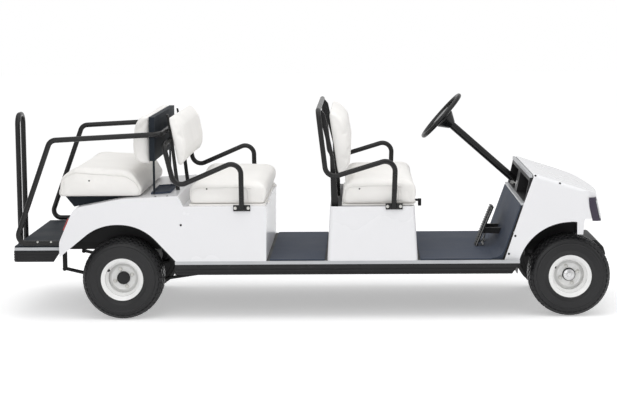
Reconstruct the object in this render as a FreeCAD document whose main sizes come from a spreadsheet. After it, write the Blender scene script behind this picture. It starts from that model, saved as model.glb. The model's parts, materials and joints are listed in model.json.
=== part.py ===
import FreeCAD, Part
import math
import os
import re

import Sketcher
from FreeCAD import Placement, Rotation, Vector

# A six-seat golf cart, as a parametric document in millimetres.
#
# X runs forward, Y to the left and Z up from the ground. Every piece is drawn with its stations
# counted forward from the rear axle. When it is finished it is placed so that the document's
# origin lies on the ground under the middle of the cart's length.

doc = FreeCAD.newDocument("golf_cart")

# ---------------------------------------------------------------------------------------------
# Driving sizes
# ---------------------------------------------------------------------------------------------

SIZES = {
    # overall: axles, and how far the ends reach past them
    "wheelbase": 2500,
    "handle_back": 660,         # rear axle to the centre line of the grab handle
    "nose_reach": 238,          # front axle to the front of the bumper
    "body_half": 595,           # half width of the rear body and seat base
    "cowl_half": 560,           # half width of the front cowl
    "panel": 5,                 # moulded body panels
    "seam": 0.3,                # gap between two bodies that bear on each other
    # wheels
    "tyre_outer": 457,
    "tyre_wide": 216,
    "tread_wide": 150,
    "rim_outer": 238,
    "rim_wide": 200,
    "bead_seat": 203,
    "rim_sheet": 4,
    "disc_out": 26,             # wheel disc outside the wheel's centre plane
    "hub_across": 64,
    "front_track": 876,
    "rear_track": 978,
    # frame and floor
    "frame_top": 318,
    "rail_high": 50,
    "rail_wide": 60,
    "rail_half": 300,           # rail centre line to the middle of the cart
    "nose_rail_half": 150,
    "nose_kick": 62,            # front rails stand this much higher
    "cowl_cross": 18,           # toe board's foot to the foremost cross member
    "riser_ahead": 34,          # toe board's foot to the front risers
    "cross_long": 50,           # cross members, along the cart
    "floor_back": 330,
    "floor_thick": 12,
    "floor_inset": 12,          # floor's edge in from the body's side
    "mat_thick": 7,
    "toe_foot": 2122,           # toe board at the floor
    "toe_head": 2228,           # toe board at the dash
    "lip_high": 630,            # lower edge of the dash
    # rocker panels and light edge strips
    "rocker_back": 299,
    "rocker_front": 2215,
    "rocker_low": 254,
    "rocker_thick": 25,
    "rocker_rake": 43,
    "rib_deep": 4,
    "rib_high": 9,
    "strip_high": 18,
    "strip_thick": 14,
    # front cowl
    "brow_back": 2290,
    "brow_high": 806,
    "hood_knee": 2551,
    "hood_knee_high": 722,
    "nose_top": 2639,
    "nose_top_high": 682,
    "nose_low": 2664,
    "nose_low_high": 553,
    "nose_bow": 78,             # how far the nose bows forward in the middle
    "nose_spare": 1,            # cut off the whole front by the bowed face
    "nose_flare": 3,            # the nose's plan crosses the cowl's sides this much out, then in
    "nose_corner": 100,
    "arch_radius": 298,
    "arch_lift": 10,            # front arch centre above the axle
    "liner_half": 200,          # inner wall of the front wheel wells
    "liner_thick": 4,
    "lamp_high": 130,
    "lamp_wide": 145,
    "lamp_proud": 20,
    # front bumper
    "bumper_half": 235,
    "bumper_low": 262,
    "bumper_high": 388,
    "bumper_deep": 120,
    "bumper_carrier": 8,        # plate across the ends of the front rails
    # rear body
    "tail_back": 347,
    "tail_low": 356,
    "tail_crease": 442,
    "shoulder_back": 262,
    "shoulder_high": 632,
    "fender_high": 682,
    "deck_front": 320,
    "deck_high": 698,
    "bench_front": 812,
    "bench_top": 638,
    "rear_arch_front": 303,
    "rear_arch_high": 538,
    "rear_arch_ahead": 110,     # corners of the arch, ahead of and behind the rear axle
    "rear_arch_behind": 125,
    "arch_round": 280,
    # footboard, rear bumper, grab handle
    "step_back": 600,
    "step_front": 342,
    "step_inset": 20,
    "step_top": 419,
    "step_lip": 28,
    "step_plate": 4,
    "guard_high": 62,
    "guard_thick": 14,
    "guard_rake": 42,
    "handle_tube": 30,
    "handle_half": 84,
    "handle_top": 1132,
    "handle_low": 300,
    # front bench
    "base_back": 1165,
    "base_front": 1634,
    "base_flare": 17,
    "base_top": 634,
    "post_foot": 570,           # foot of the backrest posts, inside the seat base
    "pan_thick": 10,
    "hinge_ahead": 6,           # seat hinge's axis in front of the base's front wall
    "hinge_long": 70,
    "cushion_inset": 20,
    "cushion_thick": 127,
    "frame_tube": 28.6,
    "frame_gap": 17,            # body's side out to the seat tube's centre line
    "back_inset": 35,
    "front_rest_foot": 790,     # where the front backrest's bearing face starts and ends
    "front_rest_head": 1156,
    "arm_high": 905,            # top bend of the front seat's side frames
    # middle bench
    "middle_rest_foot": 850,
    "middle_rest_head": 1152,
    "middle_arm_high": 902,
    "middle_arm_low": 744,
    # rear bench
    "rear_pan_high": 691,
    "rear_cushion_high": 846,   # front edge of the rear cushion, its highest line
    "rear_rest_foot": 862,
    "rear_rest_head": 1152,
    "rear_cushion_inset": 35,
    "rear_back_inset": 75,
    "board_back": 161,
    "board_thick": 30,
    "board_low": 888,
    "board_high": 1132,
    "board_inset": 55,
    "rail_tube": 30,
    "rail_low_bend": 596,       # rear axle back to the grab rail's lower bend
    "rail_high_back": 1010,
    "rail_high_front": 1040,
    "rail_inset": 16,           # body's side in to the grab rail's centre line
    # steering
    "steer_x": 1820,
    "steer_y": 290,
    "steer_z": 1073,
    "steer_tilt": 41.5,         # column below the horizontal, degrees
    "steer_across": 345,
    "steer_grip": 26,
    "steer_boss": 124,
    "column_across": 45,
    "wheel_to_column": 85,      # wheel's centre down to the top of the column jacket
    "column_depth": 36,         # the jacket runs this far past the back of the brow
    "arm_reach": 110,           # steering arm, kingpin to ball joint
    "arm_inset": 45,
    "kingpin_half": 345,
    "kingpin_across": 20,
    "rack_across": 14,
    "rack_high": 208,
    "eye_high": 18,
    "beam_across": 50,
    "spindle_across": 25,
    "axle_across": 76,
    "spring_seat": 184,         # underside of the rear axle's spring pads
    "rear_leaf_bow": 900,       # radius of the bend in the middle of each leaf
    "front_leaf_bow": 210,
    "leaf_thick": 12,
    "leaf_wide": 44,
    # drive and controls
    "battery_half": 420,
    "battery_high": 260,
    "motor_long": 260,
    "motor_radius": 85,
    "pedal_high": 551,
    "pedal_arm_high": 405,
    "lever_high": 600,
    "lever_out": 38,
}

sheet = doc.addObject("Spreadsheet::Sheet", "sizes")
for row, (alias, number) in enumerate(SIZES.items(), start=1):
    sheet.set("A%d" % row, alias)
    sheet.set("B%d" % row, str(number))
    sheet.setAlias("B%d" % row, alias)

# Half widths that follow the body's, and the lean of the nose, worked out in the same sheet.
FOLLOWING = {
    "floor_half": "body_half - floor_inset",
    "step_half": "body_half - step_inset",
    "cushion_half": "body_half - cushion_inset",
    "frame_half": "body_half + frame_gap",
    "back_half": "body_half - back_inset",
    "rear_cushion_half": "body_half - rear_cushion_inset",
    "rear_back_half": "body_half - rear_back_inset",
    "board_half": "body_half - board_inset",
    "rail_out": "body_half - rail_inset",
    "nose_lean": "(nose_low - nose_top) / (nose_top_high - 20 - nose_low_high)",
}
for row, (alias, formula) in enumerate(FOLLOWING.items(), start=len(SIZES) + 1):
    sheet.set("A%d" % row, alias)
    sheet.set("B%d" % row, "=" + formula)
    sheet.setAlias("B%d" % row, alias)
doc.recompute()

# Heights and stations that several pieces share.
FLOOR = "(frame_top + floor_thick)"
MAT = "(frame_top + floor_thick + mat_thick)"
AXLE = "(tyre_outer / 2)"
STEP_UNDER = "(step_top - step_plate)"
REAR_RAIL_LOW = "(step_top - step_plate - rail_high)"
NOSE_RAIL_TOP = "(frame_top + nose_kick)"
MIDDLE = "((wheelbase + nose_reach - handle_back - handle_tube / 2) / 2)"


# ---------------------------------------------------------------------------------------------
# Helpers
# ---------------------------------------------------------------------------------------------

def value(text):
    """The number that a formula of sheet names gives now."""
    return float(sheet.evalExpression(text))


def bound(text):
    """The same formula as another object writes it, with each name looked up in the sheet."""
    return re.sub(r"[a-z]\w+", lambda word: "sizes." + word.group()
                  if word.group() in SIZES or word.group() in FOLLOWING else word.group(), text)


def tie(thing, **formulas):
    """Bind properties of a document object to formulas of sheet names."""
    for name, text in formulas.items():
        thing.setExpression(name, bound(text))


SPOTS = {}


def place(thing, x="0", y="0", z="0", rotation=None):
    """Give an object a bound position and a fixed turn."""
    SPOTS[thing.Name] = (x, y, z)
    if rotation:
        thing.Placement = Placement(Vector(), rotation)
    for name, text in (("x", x), ("y", y), ("z", z)):
        thing.setExpression("Placement.Base." + name, bound(text))


def box(name, x, y, z):
    """A block between two formulas on each axis."""
    thing = doc.addObject("Part::Box", name)
    tie(thing, Length="(%s) - (%s)" % (x[1], x[0]), Width="(%s) - (%s)" % (y[1], y[0]),
        Height="(%s) - (%s)" % (z[1], z[0]))
    place(thing, x[0], y[0], z[0])
    return thing


TURNS = {
    "X": Rotation(Vector(0, 1, 0), 90),
    "Y": Rotation(Vector(1, 0, 0), -90),
    "Z": Rotation(),
}


def rod(name, axis, start, length, radius):
    """A cylinder that runs along an axis from a start point."""
    thing = doc.addObject("Part::Cylinder", name)
    tie(thing, Radius=radius, Height=length)
    place(thing, *start, rotation=TURNS[axis])
    return thing


def outline(body, plane, points, offset="0"):
    """A closed sketch of straight runs, each corner (across, up) or rounded (across, up, radius)."""
    sketch = body.newObject("Sketcher::SketchObject", body.Name + "_outline")
    origin = [each for each in body.Origin.OriginFeatures if each.Role == plane][0]
    sketch.AttachmentSupport = [(origin, "")]
    sketch.MapMode = "FlatFace"
    sketch.setExpression("AttachmentOffset.Base.z", bound(offset))
    count = len(points)
    spots = [Vector(value(point[0]), value(point[1]), 0) for point in points]
    radii = [value(point[2]) if len(point) > 2 else 0 for point in points]
    ends = []
    for i, spot in enumerate(spots):
        back = (spots[i - 1] - spot).normalize()
        ahead = (spots[(i + 1) % count] - spot).normalize()
        run = radii[i] / math.tan(back.getAngle(ahead) / 2) if radii[i] else 0
        ends.append((spot + back * run, spot + ahead * run))
    for i in range(count):
        side = spots[(i + 1) % count] - spots[i]
        if (ends[(i + 1) % count][0] - ends[i][1]).dot(side) <= 0:
            raise ValueError("%s: corners %d and %d overlap" % (body.Name, i, (i + 1) % count))
    sketch.addGeometry([Part.LineSegment(ends[i][1], ends[(i + 1) % count][0])
                        for i in range(count)], False)
    rules = []
    bindings = []
    for i, spot in enumerate(spots):
        line_in = (i - 1) % count
        line_out = i
        if radii[i]:
            arc, first, last = add_corner(sketch, spot, ends[i], radii[i])
            mark = sketch.addGeometry(Part.Point(spot), True)
            rules += [("Tangent", line_in, 2, arc, first), ("Tangent", arc, last, line_out, 1),
                      ("PointOnObject", mark, 1, line_in), ("PointOnObject", mark, 1, line_out)]
            bindings.append((("Radius", arc, radii[i]), points[i][2]))
        else:
            mark = line_out
            rules.append(("Coincident", line_in, 2, line_out, 1))
        bindings.append((("DistanceX", -1, 1, mark, 1, spot.x), points[i][0]))
        bindings.append((("DistanceY", -1, 1, mark, 1, spot.y), points[i][1]))
    sketch.addConstraint([Sketcher.Constraint(*rule) for rule in rules])
    sketch.addConstraint([Sketcher.Constraint(*rule) for rule, text in bindings])
    for i, (rule, text) in enumerate(bindings, start=len(rules)):
        sketch.setExpression("Constraints[%d]" % i, bound(text))
    return sketch


def add_corner(sketch, spot, ends, radius):
    """The arc that rounds one corner, with the numbers of its first and last ends."""
    arrive, leave = ends
    inward = (arrive - spot) + (leave - spot)
    half = (arrive - spot).getAngle(leave - spot) / 2
    centre = spot + inward.normalize() * (radius / math.sin(half))
    turns_left = (spot - arrive).cross(leave - spot).z > 0
    start, stop = (arrive, leave) if turns_left else (leave, arrive)
    angles = [math.atan2(end.y - centre.y, end.x - centre.x) for end in (start, stop)]
    circle = Part.Circle(centre, Vector(0, 0, 1), radius)
    arc = sketch.addGeometry(Part.ArcOfCircle(circle, *angles), False)
    return (arc, 1, 2) if turns_left else (arc, 2, 1)


PLANES = {"side": "XZ_Plane", "plan": "XY_Plane", "front": "YZ_Plane"}


def lean_back(feature, upward):
    """Run a pad or pocket along the leaning nose and not straight up or down."""
    feature.UseCustomVector = True
    feature.Direction = Vector(-value("nose_lean") * upward, 0, upward)


def leaning(points, height):
    """A plan given at the nose's foot, moved to where it lies at another height on the leaning nose."""
    shift = " - nose_lean * (%s - nose_low_high)" % height
    return [(point[0] + shift,) + point[1:] for point in points]


def prism(name, view, points, low, high):
    """A body padded from an outline: side views run across Y, plans up Z, front views along X."""
    body = doc.addObject("PartDesign::Body", name)
    offset = "-(%s)" % high if view == "side" else low
    sketch = outline(body, PLANES[view], points, offset)
    pad = body.newObject("PartDesign::Pad", name + "_pad")
    pad.Profile = sketch
    tie(pad, Length="(%s) - (%s)" % (high, low))
    return body


def turned(name, points):
    """A body revolved about its own Y axis from an outline of (along, radius)."""
    body = doc.addObject("PartDesign::Body", name)
    sketch = outline(body, PLANES["front"], points)
    revolution = body.newObject("PartDesign::Revolution", name + "_turn")
    revolution.Profile = sketch
    revolution.ReferenceAxis = (sketch, ["H_Axis"])
    revolution.Angle = 360
    return body


def pick(items, word, test):
    """Names of the faces or edges that a test picks, as PartDesign features list them."""
    return ["%s%d" % (word, i) for i, item in enumerate(items, start=1) if test(item)]


def normal(face):
    low_u, high_u, low_v, high_v = face.ParameterRange
    return face.normalAt((low_u + high_u) / 2, (low_v + high_v) / 2)


def soften(body, test, radius):
    """Round the picked edges of a body."""
    doc.recompute()
    fillet = body.newObject("PartDesign::Fillet", body.Name + "_soft")
    base = body.Tip if body.Tip != fillet else fillet.BaseFeature
    fillet.Base = (base, pick(base.Shape.Edges, "Edge", test))
    tie(fillet, Radius=radius)


def hollow(body, test, wall):
    """Shell a body inward, open at the picked faces."""
    doc.recompute()
    shell = body.newObject("PartDesign::Thickness", body.Name + "_shell")
    base = body.Tip if body.Tip != shell else shell.BaseFeature
    shell.Base = (base, pick(base.Shape.Faces, "Face", test))
    shell.Reversed = True
    shell.Join = "Intersection"
    tie(shell, Value=wall)


def join(name, *things):
    thing = doc.addObject("Part::MultiFuse", name)
    thing.Shapes = things
    thing.Refine = True
    return thing


def carve(name, base, *tools):
    thing = doc.addObject("Part::Cut", name)
    thing.Base = base
    thing.Tool = tools[0] if len(tools) == 1 else join(name + "_tools", *tools)
    thing.Refine = True
    return thing


def shared(name, *things):
    thing = doc.addObject("Part::MultiCommon", name)
    thing.Shapes = things
    thing.Refine = True
    return thing


def mirrored(name, source):
    thing = doc.addObject("Part::Mirroring", name)
    thing.Source = source
    thing.Normal = Vector(0, 1, 0)
    return thing


def together(name, *things):
    thing = doc.addObject("Part::Compound", name)
    thing.Links = things
    return thing


def both_sides(name, source):
    """A piece and its mirror image on the other side of the cart."""
    return together(name, source, mirrored(name + "_other", source))


def bent_tube(name, points, bend, radius):
    """A round tube along straight runs with tangent bends; its path is in space, so no sketch fits."""
    spots = [Vector(*[value(text) for text in point]) for point in points]
    radius = value(radius)
    bend = value(bend)
    edges = []
    start = spots[0]
    for before, corner, after in zip(spots, spots[1:], spots[2:]):
        back = (before - corner).normalize()
        ahead = (after - corner).normalize()
        half = back.getAngle(ahead) / 2
        run = bend / math.tan(half)
        arrive = corner + back * run
        leave = corner + ahead * run
        centre = corner + (back + ahead).normalize() * (bend / math.sin(half))
        middle = centre + (corner - centre).normalize() * bend
        edges += [Part.LineSegment(start, arrive).toShape(), Part.Arc(arrive, middle, leave).toShape()]
        start = leave
    edges.append(Part.LineSegment(start, spots[-1]).toShape())
    ring = Part.Wire(Part.makeCircle(radius, spots[0], spots[1] - spots[0]))
    thing = doc.addObject("Part::Feature", name)
    thing.Shape = Part.Wire(edges).makePipeShell([ring], True, False)
    return thing


NODES = []


def finish(thing, label, x=None, y="0", z="0", rotation=None):
    """Name a sub-part and place it in the cart's frame, from where it is or at a given spot."""
    thing.Label = label
    if x is None:
        x, y, z = SPOTS.get(thing.Name, ("0", "0", "0"))
    place(thing, "%s - %s" % (x, MIDDLE), y, z, rotation)
    NODES.append(thing)


def on_line(low, high, z):
    """The X, at a height, of the line through two (x, z) corners."""
    return "((%s) + ((%s) - (%s)) * ((%s) - (%s)) / ((%s) - (%s)))" % (
        low[0], high[0], low[0], z, low[1], high[1], low[1])


def at_station(back, front, x):
    """The Z, at a station, of the line through two (x, z) corners."""
    return on_line(back[::-1], front[::-1], x)


def across(half):
    """The pair of formulas from the right side to the left."""
    return ("-(%s)" % half, half)


# ---------------------------------------------------------------------------------------------
# Frame, floor and rockers
# ---------------------------------------------------------------------------------------------

def make_frame():
    """Ladder frame: main rails under the floor, raised rails over both axles, cross members."""
    main = ("frame_top - rail_high", "frame_top")
    rear = (REAR_RAIL_LOW, STEP_UNDER)
    nose = ("frame_top + nose_kick - rail_high", NOSE_RAIL_TOP)
    rails = (
        # name, from, to, half spacing, heights
        ("main_rail", "floor_back - 90", "toe_foot + cowl_cross + cross_long", "rail_half", main),
        ("rear_rail", "-step_back + guard_thick", "floor_back - 40", "rail_half", rear),
        ("nose_rail", "toe_foot + riser_ahead", BUMPER_BACK, "nose_rail_half", nose),
    )
    pieces = []
    for name, start, stop, half, heights in rails:
        wide = ("%s - rail_wide / 2" % half, "%s + rail_wide / 2" % half)
        rail = box(name, (start, stop), wide, heights)
        pieces += [rail, mirrored(name + "_other", rail)]
    outer = across("body_half - rocker_thick")
    inner = across("rail_half + rail_wide / 2")
    members = (
        # name, start, half widths, heights
        ("riser_rear", "floor_back - 90", inner, ("frame_top - rail_high", STEP_UNDER)),
        ("cross_bench", "bench_front - 60", outer, main),
        ("cross_seat_back", "base_back + 10", outer, main),
        ("cross_seat_front", "base_front - 60", outer, main),
        ("cross_sill", "floor_back + 20", outer, main),
        ("riser_nose", "toe_foot + riser_ahead", inner, ("frame_top - rail_high", NOSE_RAIL_TOP)),
        ("cross_cowl", "toe_foot + cowl_cross", outer, main),
        ("cross_step", "-step_back + guard_thick", across("step_half - guard_thick - 16"), rear),
        ("cross_nose", "wheelbase + 40", across("nose_rail_half"), nose),
        ("bumper_plate", BUMPER_BACK + " - cross_long", across("bumper_half - 40"), nose),
    )
    for name, start, wide, heights in members:
        pieces.append(box(name, (start, "%s + cross_long" % start), wide, heights))
    for name, side in (("hanger_left", "handle_half"), ("hanger_right", "-handle_half")):
        hanger = box(name, ("-step_back + guard_thick", "-step_back + guard_thick + cross_long"),
                     ("%s - 20" % side, "%s + 20" % side), ("handle_low", REAR_RAIL_LOW + " + 5"))
        saddle = rod(name + "_saddle", "X", ("-step_back", side, "handle_low"), "2 * cross_long",
                     "handle_tube / 2 + seam")
        pieces.append(carve(name + "_clamp", hanger, saddle))
    pieces.append(box("bumper_carrier", (BUMPER_BACK + " - bumper_carrier", BUMPER_BACK),
                      across("bumper_half"), ("bumper_low + 30", "bumper_high")))
    finish(join("chassis_frame", *pieces), "chassis_frame")


def make_floor():
    floor = box("floor_plate", ("floor_back", "toe_foot"), across("floor_half"), ("frame_top", FLOOR))
    toe = prism("toe_plate", "side", [
        ("toe_foot - panel", "frame_top"),
        ("toe_foot + panel", "frame_top"),
        ("toe_head + panel", "lip_high"),
        ("toe_head", "lip_high"),
        ("toe_foot", FLOOR),
        ("toe_foot - panel", FLOOR),
    ], *across("cowl_half - panel"))
    finish(join("floor_pan", floor, toe), "floor_pan")


def make_mats():
    """Floor mats in both footwells; the front one runs up the toe board."""
    gap = "15"
    middle = box("middle_mat", ("bench_front + %s" % gap, "base_back - base_flare - %s" % gap),
                 across("floor_half - panel"), (FLOOR, MAT))
    flat = box("front_mat_flat", ("base_front + base_flare + %s" % gap, "toe_foot - 60"),
               across("floor_half - panel"), (FLOOR, MAT))
    toe = prism("front_mat_toe", "side", [
        ("toe_foot - 70", FLOOR),
        ("toe_foot", FLOOR),
        ("toe_head", "lip_high"),
        ("toe_head - mat_thick", "lip_high"),
        ("toe_foot - mat_thick", MAT, "60"),
        ("toe_foot - 70", MAT),
    ], *across("cowl_half - 2 * panel"))
    finish(together("floor_mats", middle, join("front_mat", flat, toe)), "floor_mats")


def make_rockers():
    """Ribbed black sills, raked at the front end."""
    face = "body_half"
    points = [("body_half - rocker_thick", "rocker_low"), (face, "rocker_low"),
              (face, "frame_top + floor_thick - strip_high"),
              ("body_half - rocker_thick", "frame_top + floor_thick - strip_high")]
    sill = prism("sill", "front", points, "rocker_back", "rocker_front")
    grooves = [box("groove_%d" % i, ("rocker_back - 1", "rocker_front + 1"),
                   ("body_half - rib_deep", "body_half + 1"),
                   ("rocker_low + %d * rib_high" % (2 * i + 1), "rocker_low + %d * rib_high" % (2 * i + 2)))
               for i in range(2)]
    rake = prism("sill_rake", "side", [
        ("rocker_front - rocker_rake", "rocker_low - 1"),
        ("rocker_front + 1", "rocker_low - 1"),
        ("rocker_front + 1", "frame_top + floor_thick - strip_high"),
        ("rocker_front", "frame_top + floor_thick - strip_high"),
    ], "body_half - rocker_thick - 1", "body_half + 1")
    finish(both_sides("rocker_panels", carve("rocker", sill, rake, *grooves)), "rocker_panels")


def make_trims():
    """Light edge strips: along both sills, round the footboard, and on the dash."""
    sill = box("sill_strip", ("rocker_back", "rocker_front"), ("floor_half", "floor_half + strip_thick"),
               ("frame_top + floor_thick - strip_high", FLOOR))
    lip = box("dash_lip", ("toe_head - 4", "toe_head + 14"), across("cowl_half - panel"),
              ("lip_high", "lip_high + 14"))
    brow = prism("dash_brow", "side", [
        ("brow_back - 20", "brow_high - 22"),
        ("brow_back - 4", "brow_high - 22"),
        ("brow_back - 4", "brow_high - 4", "3"),
        ("brow_back - 20", "brow_high - 4", "3"),
    ], *across("cowl_half - panel"))
    finish(together("edge_trims", sill, mirrored("sill_strip_other", sill), lip, brow), "edge_trims")


# ---------------------------------------------------------------------------------------------
# Front end
# ---------------------------------------------------------------------------------------------

ARCH = "(tyre_outer / 2 + arch_lift)"
BUMPER_BACK = "(wheelbase + nose_reach - bumper_deep)"


def cowl_form(name, inset):
    """The cowl's outer form, or the space inside it when it is inset by the wall."""
    cowl = prism(name, "side", [
        ("toe_foot - 4 * (%s)" % inset, "frame_top - (%s)" % inset),
        ("toe_head - 4 * (%s)" % inset, "lip_high - (%s)" % inset),
        ("brow_back - 4 * (%s)" % inset, "brow_high + 0.2 * (%s)" % inset, "8"),
        ("hood_knee", "hood_knee_high - (%s)" % inset, "500"),
        ("nose_top + nose_bow + nose_spare - (%s)" % inset, "nose_top_high - 20 - (%s)" % inset, "60"),
        ("nose_low + nose_bow + nose_spare + nose_lean * (nose_low_high - frame_top) - (%s)" % inset,
         "frame_top - (%s)" % inset),
    ], *across("cowl_half - (%s)" % inset))
    doc.recompute()
    soften(cowl, lambda edge: edge.CenterOfMass.z > value("hood_knee_high - 80")
           and abs(abs(edge.CenterOfMass.y) - value("cowl_half - (%s)" % inset)) < 1
           and edge.CenterOfMass.x > value("brow_back") + 1, "22 - (%s)" % inset)
    top = "(brow_high + 10)"
    nose = outline(cowl, PLANES["plan"], leaning([
        ("nose_top - 2 * nose_corner", "-cowl_half - 20"),
        ("nose_top - 2 * nose_corner", "-cowl_half - nose_flare + (%s)" % inset),
        ("nose_low - (%s)" % inset, "-cowl_half + nose_flare + (%s)" % inset, "nose_corner - (%s)" % inset),
        ("nose_low + nose_bow - (%s)" % inset, "0", "3000"),
        ("nose_low - (%s)" % inset, "cowl_half - nose_flare - (%s)" % inset, "nose_corner - (%s)" % inset),
        ("nose_top - 2 * nose_corner", "cowl_half + nose_flare - (%s)" % inset),
        ("nose_top - 2 * nose_corner", "cowl_half + 20"),
        ("nose_low + 3 * nose_bow", "cowl_half + 20"),
        ("nose_low + 3 * nose_bow", "-cowl_half - 20"),
    ], top), top)
    pocket = cowl.newObject("PartDesign::Pocket", name + "_nose_curve")
    pocket.Profile = nose
    lean_back(pocket, -1)
    tie(pocket, Length="brow_high + 20 - frame_top + (%s)" % inset)
    return cowl


def make_cowl():
    """Moulded cowl: hood, fenders and nose in one skin, open below and behind."""
    arches = rod("front_arches", "Y", ("wheelbase", "-cowl_half - 1", ARCH), "2 * cowl_half + 2", "arch_radius")
    below = box("below_nose", ("wheelbase", "wheelbase + 300"), across("cowl_half + 1"),
                ("frame_top - 1", "nose_low_high"))
    skin = carve("cowl_shell", cowl_form("cowl_outer", "0"), cowl_form("cowl_inner", "panel"), arches, below)
    apron = prism("cowl_apron", "side", [
        (BUMPER_BACK + " - 30", NOSE_RAIL_TOP + " + seam"),
        (BUMPER_BACK + " - 30 + panel", NOSE_RAIL_TOP + " + seam"),
        (BUMPER_BACK + " - 30 + panel", "nose_low_high"),
        ("nose_low + nose_bow", "nose_low_high"),
        ("nose_low + nose_bow", "nose_low_high + panel"),
        (BUMPER_BACK + " - 30", "nose_low_high + panel"),
    ], *across("bumper_half + 5"))
    trimmed = shared("apron_trimmed", apron, cowl_form("cowl_apron_form", "0"))
    finish(join("front_cowl", skin, trimmed), "front_cowl")


def make_liners():
    """Dark inner fenders over all four wheels: an arched strip and the wall behind the wheel."""
    strip_outer = rod("well_outer", "Y", ("wheelbase", "liner_half", ARCH),
                      "cowl_half - panel - seam - liner_half", "arch_radius")
    strip_inner = rod("well_inner", "Y", ("wheelbase", "liner_half + liner_thick", ARCH),
                      "cowl_half", "arch_radius - liner_thick")
    low = box("well_low", ("wheelbase - 2 * arch_radius", "wheelbase + 2 * arch_radius"),
              ("0", "cowl_half"), ("-arch_radius", "frame_top - rail_high - 20"))
    ahead = box("well_ahead", ("wheelbase + 70", "wheelbase + 2 * arch_radius"),
                ("0", "cowl_half"), ("-arch_radius", "2 * arch_radius"))
    rails = box("well_rails", ("wheelbase - 2 * arch_radius", "wheelbase + 2 * arch_radius"),
                ("0", "rail_half + rail_wide"), ("-arch_radius", "frame_top + nose_kick"))
    well = carve("front_well", strip_outer, strip_inner, low, ahead, rails)
    inner = "(rail_half + rail_wide / 2 + 6)"
    low = "rear_arch_high - 130"
    strip = prism("rear_well_strip", "side", [
        ("rear_arch_front", FLOOR),
        ("rear_arch_ahead", "rear_arch_high + 6", "arch_round"),
        ("-rear_arch_behind", "rear_arch_high + 6", "arch_round"),
        ("-tail_back + 40", low),
        ("-tail_back + 60", low),
        ("-rear_arch_behind + 3", "rear_arch_high - 2", "arch_round - 4"),
        ("rear_arch_ahead - 4", "rear_arch_high - 2", "arch_round - 4"),
        ("rear_arch_front - 12", FLOOR),
    ], inner, "body_half - panel - seam")
    wall = prism("rear_well_wall", "side", [
        ("-tail_back + 50", low),
        (on_line(("rear_arch_front - 6", FLOOR), ("rear_arch_ahead - 2", "rear_arch_high + 2"), low), low),
        ("rear_arch_ahead - 2", "rear_arch_high + 2", "arch_round - 2"),
        ("-rear_arch_behind + 2", "rear_arch_high + 2", "arch_round - 2"),
    ], inner, inner + " + panel")
    rear = join("rear_well", strip, wall)
    wells = together("wheel_liners", well, mirrored("front_well_other", well), rear,
                     mirrored("rear_well_other", rear))
    finish(wells, "wheel_liners")


def column_line(name, radius, start, length):
    """A cylinder on the steering axis, from a distance below the wheel's centre."""
    thing = doc.addObject("Part::Cylinder", name)
    tie(thing, Radius=radius, Height=length)
    thing.Placement = Placement(Vector(), Rotation(Vector(0, 1, 0), 90 + value("steer_tilt")))
    tilt = "steer_tilt * 1deg"
    for axis, text in (("x", "steer_x + (%s) * cos(%s)" % (start, tilt)), ("y", "steer_y"),
                       ("z", "steer_z - (%s) * sin(%s)" % (start, tilt))):
        thing.setExpression("Placement.Base." + axis, bound(text))
    return thing


COLUMN_TOP = "wheel_to_column"
COLUMN_LONG = "((brow_back + column_depth - steer_x) / cos(steer_tilt * 1deg) - wheel_to_column)"


def make_dash():
    """Black dash with two open pockets, a pod for the switch and a sleeve for the column."""
    shell = prism("dash_shell", "side", [
        ("toe_head + 14", "lip_high"),
        ("brow_back + 70", "lip_high"),
        ("brow_back + 70", "brow_high - 60"),
        ("brow_back - 10", "brow_high - 22"),
        ("brow_back - 18", "brow_high - 22"),
        ("toe_head + 14", "lip_high + 16"),
    ], *across("cowl_half - panel"))
    pockets = [prism("dash_pocket_%d" % i, "side", [
        ("toe_head", "lip_high + 18"),
        ("brow_back + 60", "lip_high + 18", "10"),
        ("brow_back + 60", "brow_high - 72", "10"),
        ("brow_back - 10", "brow_high - 42"),
        ("toe_head", "brow_high - 42"),
    ], low, high) for i, (low, high) in enumerate((
        ("-cowl_half + 24", "-30"),
        ("110", "cowl_half - 24"),
    ))]
    sleeve = column_line("dash_sleeve", "column_across / 2", COLUMN_TOP, COLUMN_LONG)
    finish(carve("dash", shell, sleeve, *pockets), "dash")


def make_lamps():
    """Headlamp housings on the front corners."""
    high = "nose_top_high - 12"
    block = prism("lamp_block", "side", [
        ("nose_low - 60", "%s - lamp_high" % high),
        ("nose_low + lamp_proud", "%s - lamp_high" % high, "10"),
        ("nose_top + lamp_proud", high, "10"),
        ("nose_top - 40", high),
    ], "cowl_half - lamp_wide", "cowl_half - 8")
    foot = "(nose_low_high - 40)"
    plan = prism("lamp_plan", "plan", leaning([
        ("nose_top - nose_corner", "cowl_half - lamp_wide"),
        ("nose_low + lamp_proud", "cowl_half - lamp_wide"),
        ("nose_low + lamp_proud - 22", "cowl_half - 6", "30"),
        ("nose_top - nose_corner", "cowl_half - 4"),
    ], foot), foot, "brow_high")
    lean_back(plan.Tip, 1)
    body = prism("lamp_back", "plan", leaning([
        ("nose_top - nose_corner - 10", "-cowl_half"),
        ("nose_low", "-cowl_half", "nose_corner"),
        ("nose_low + nose_bow", "0", "3000"),
        ("nose_low", "cowl_half", "nose_corner"),
        ("nose_top - nose_corner - 10", "cowl_half"),
    ], foot), foot, "brow_high")
    lean_back(body.Tip, 1)
    lamp = carve("lamp", shared("lamp_form", block, plan), body)
    finish(both_sides("headlamps", lamp), "headlamps")


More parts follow.
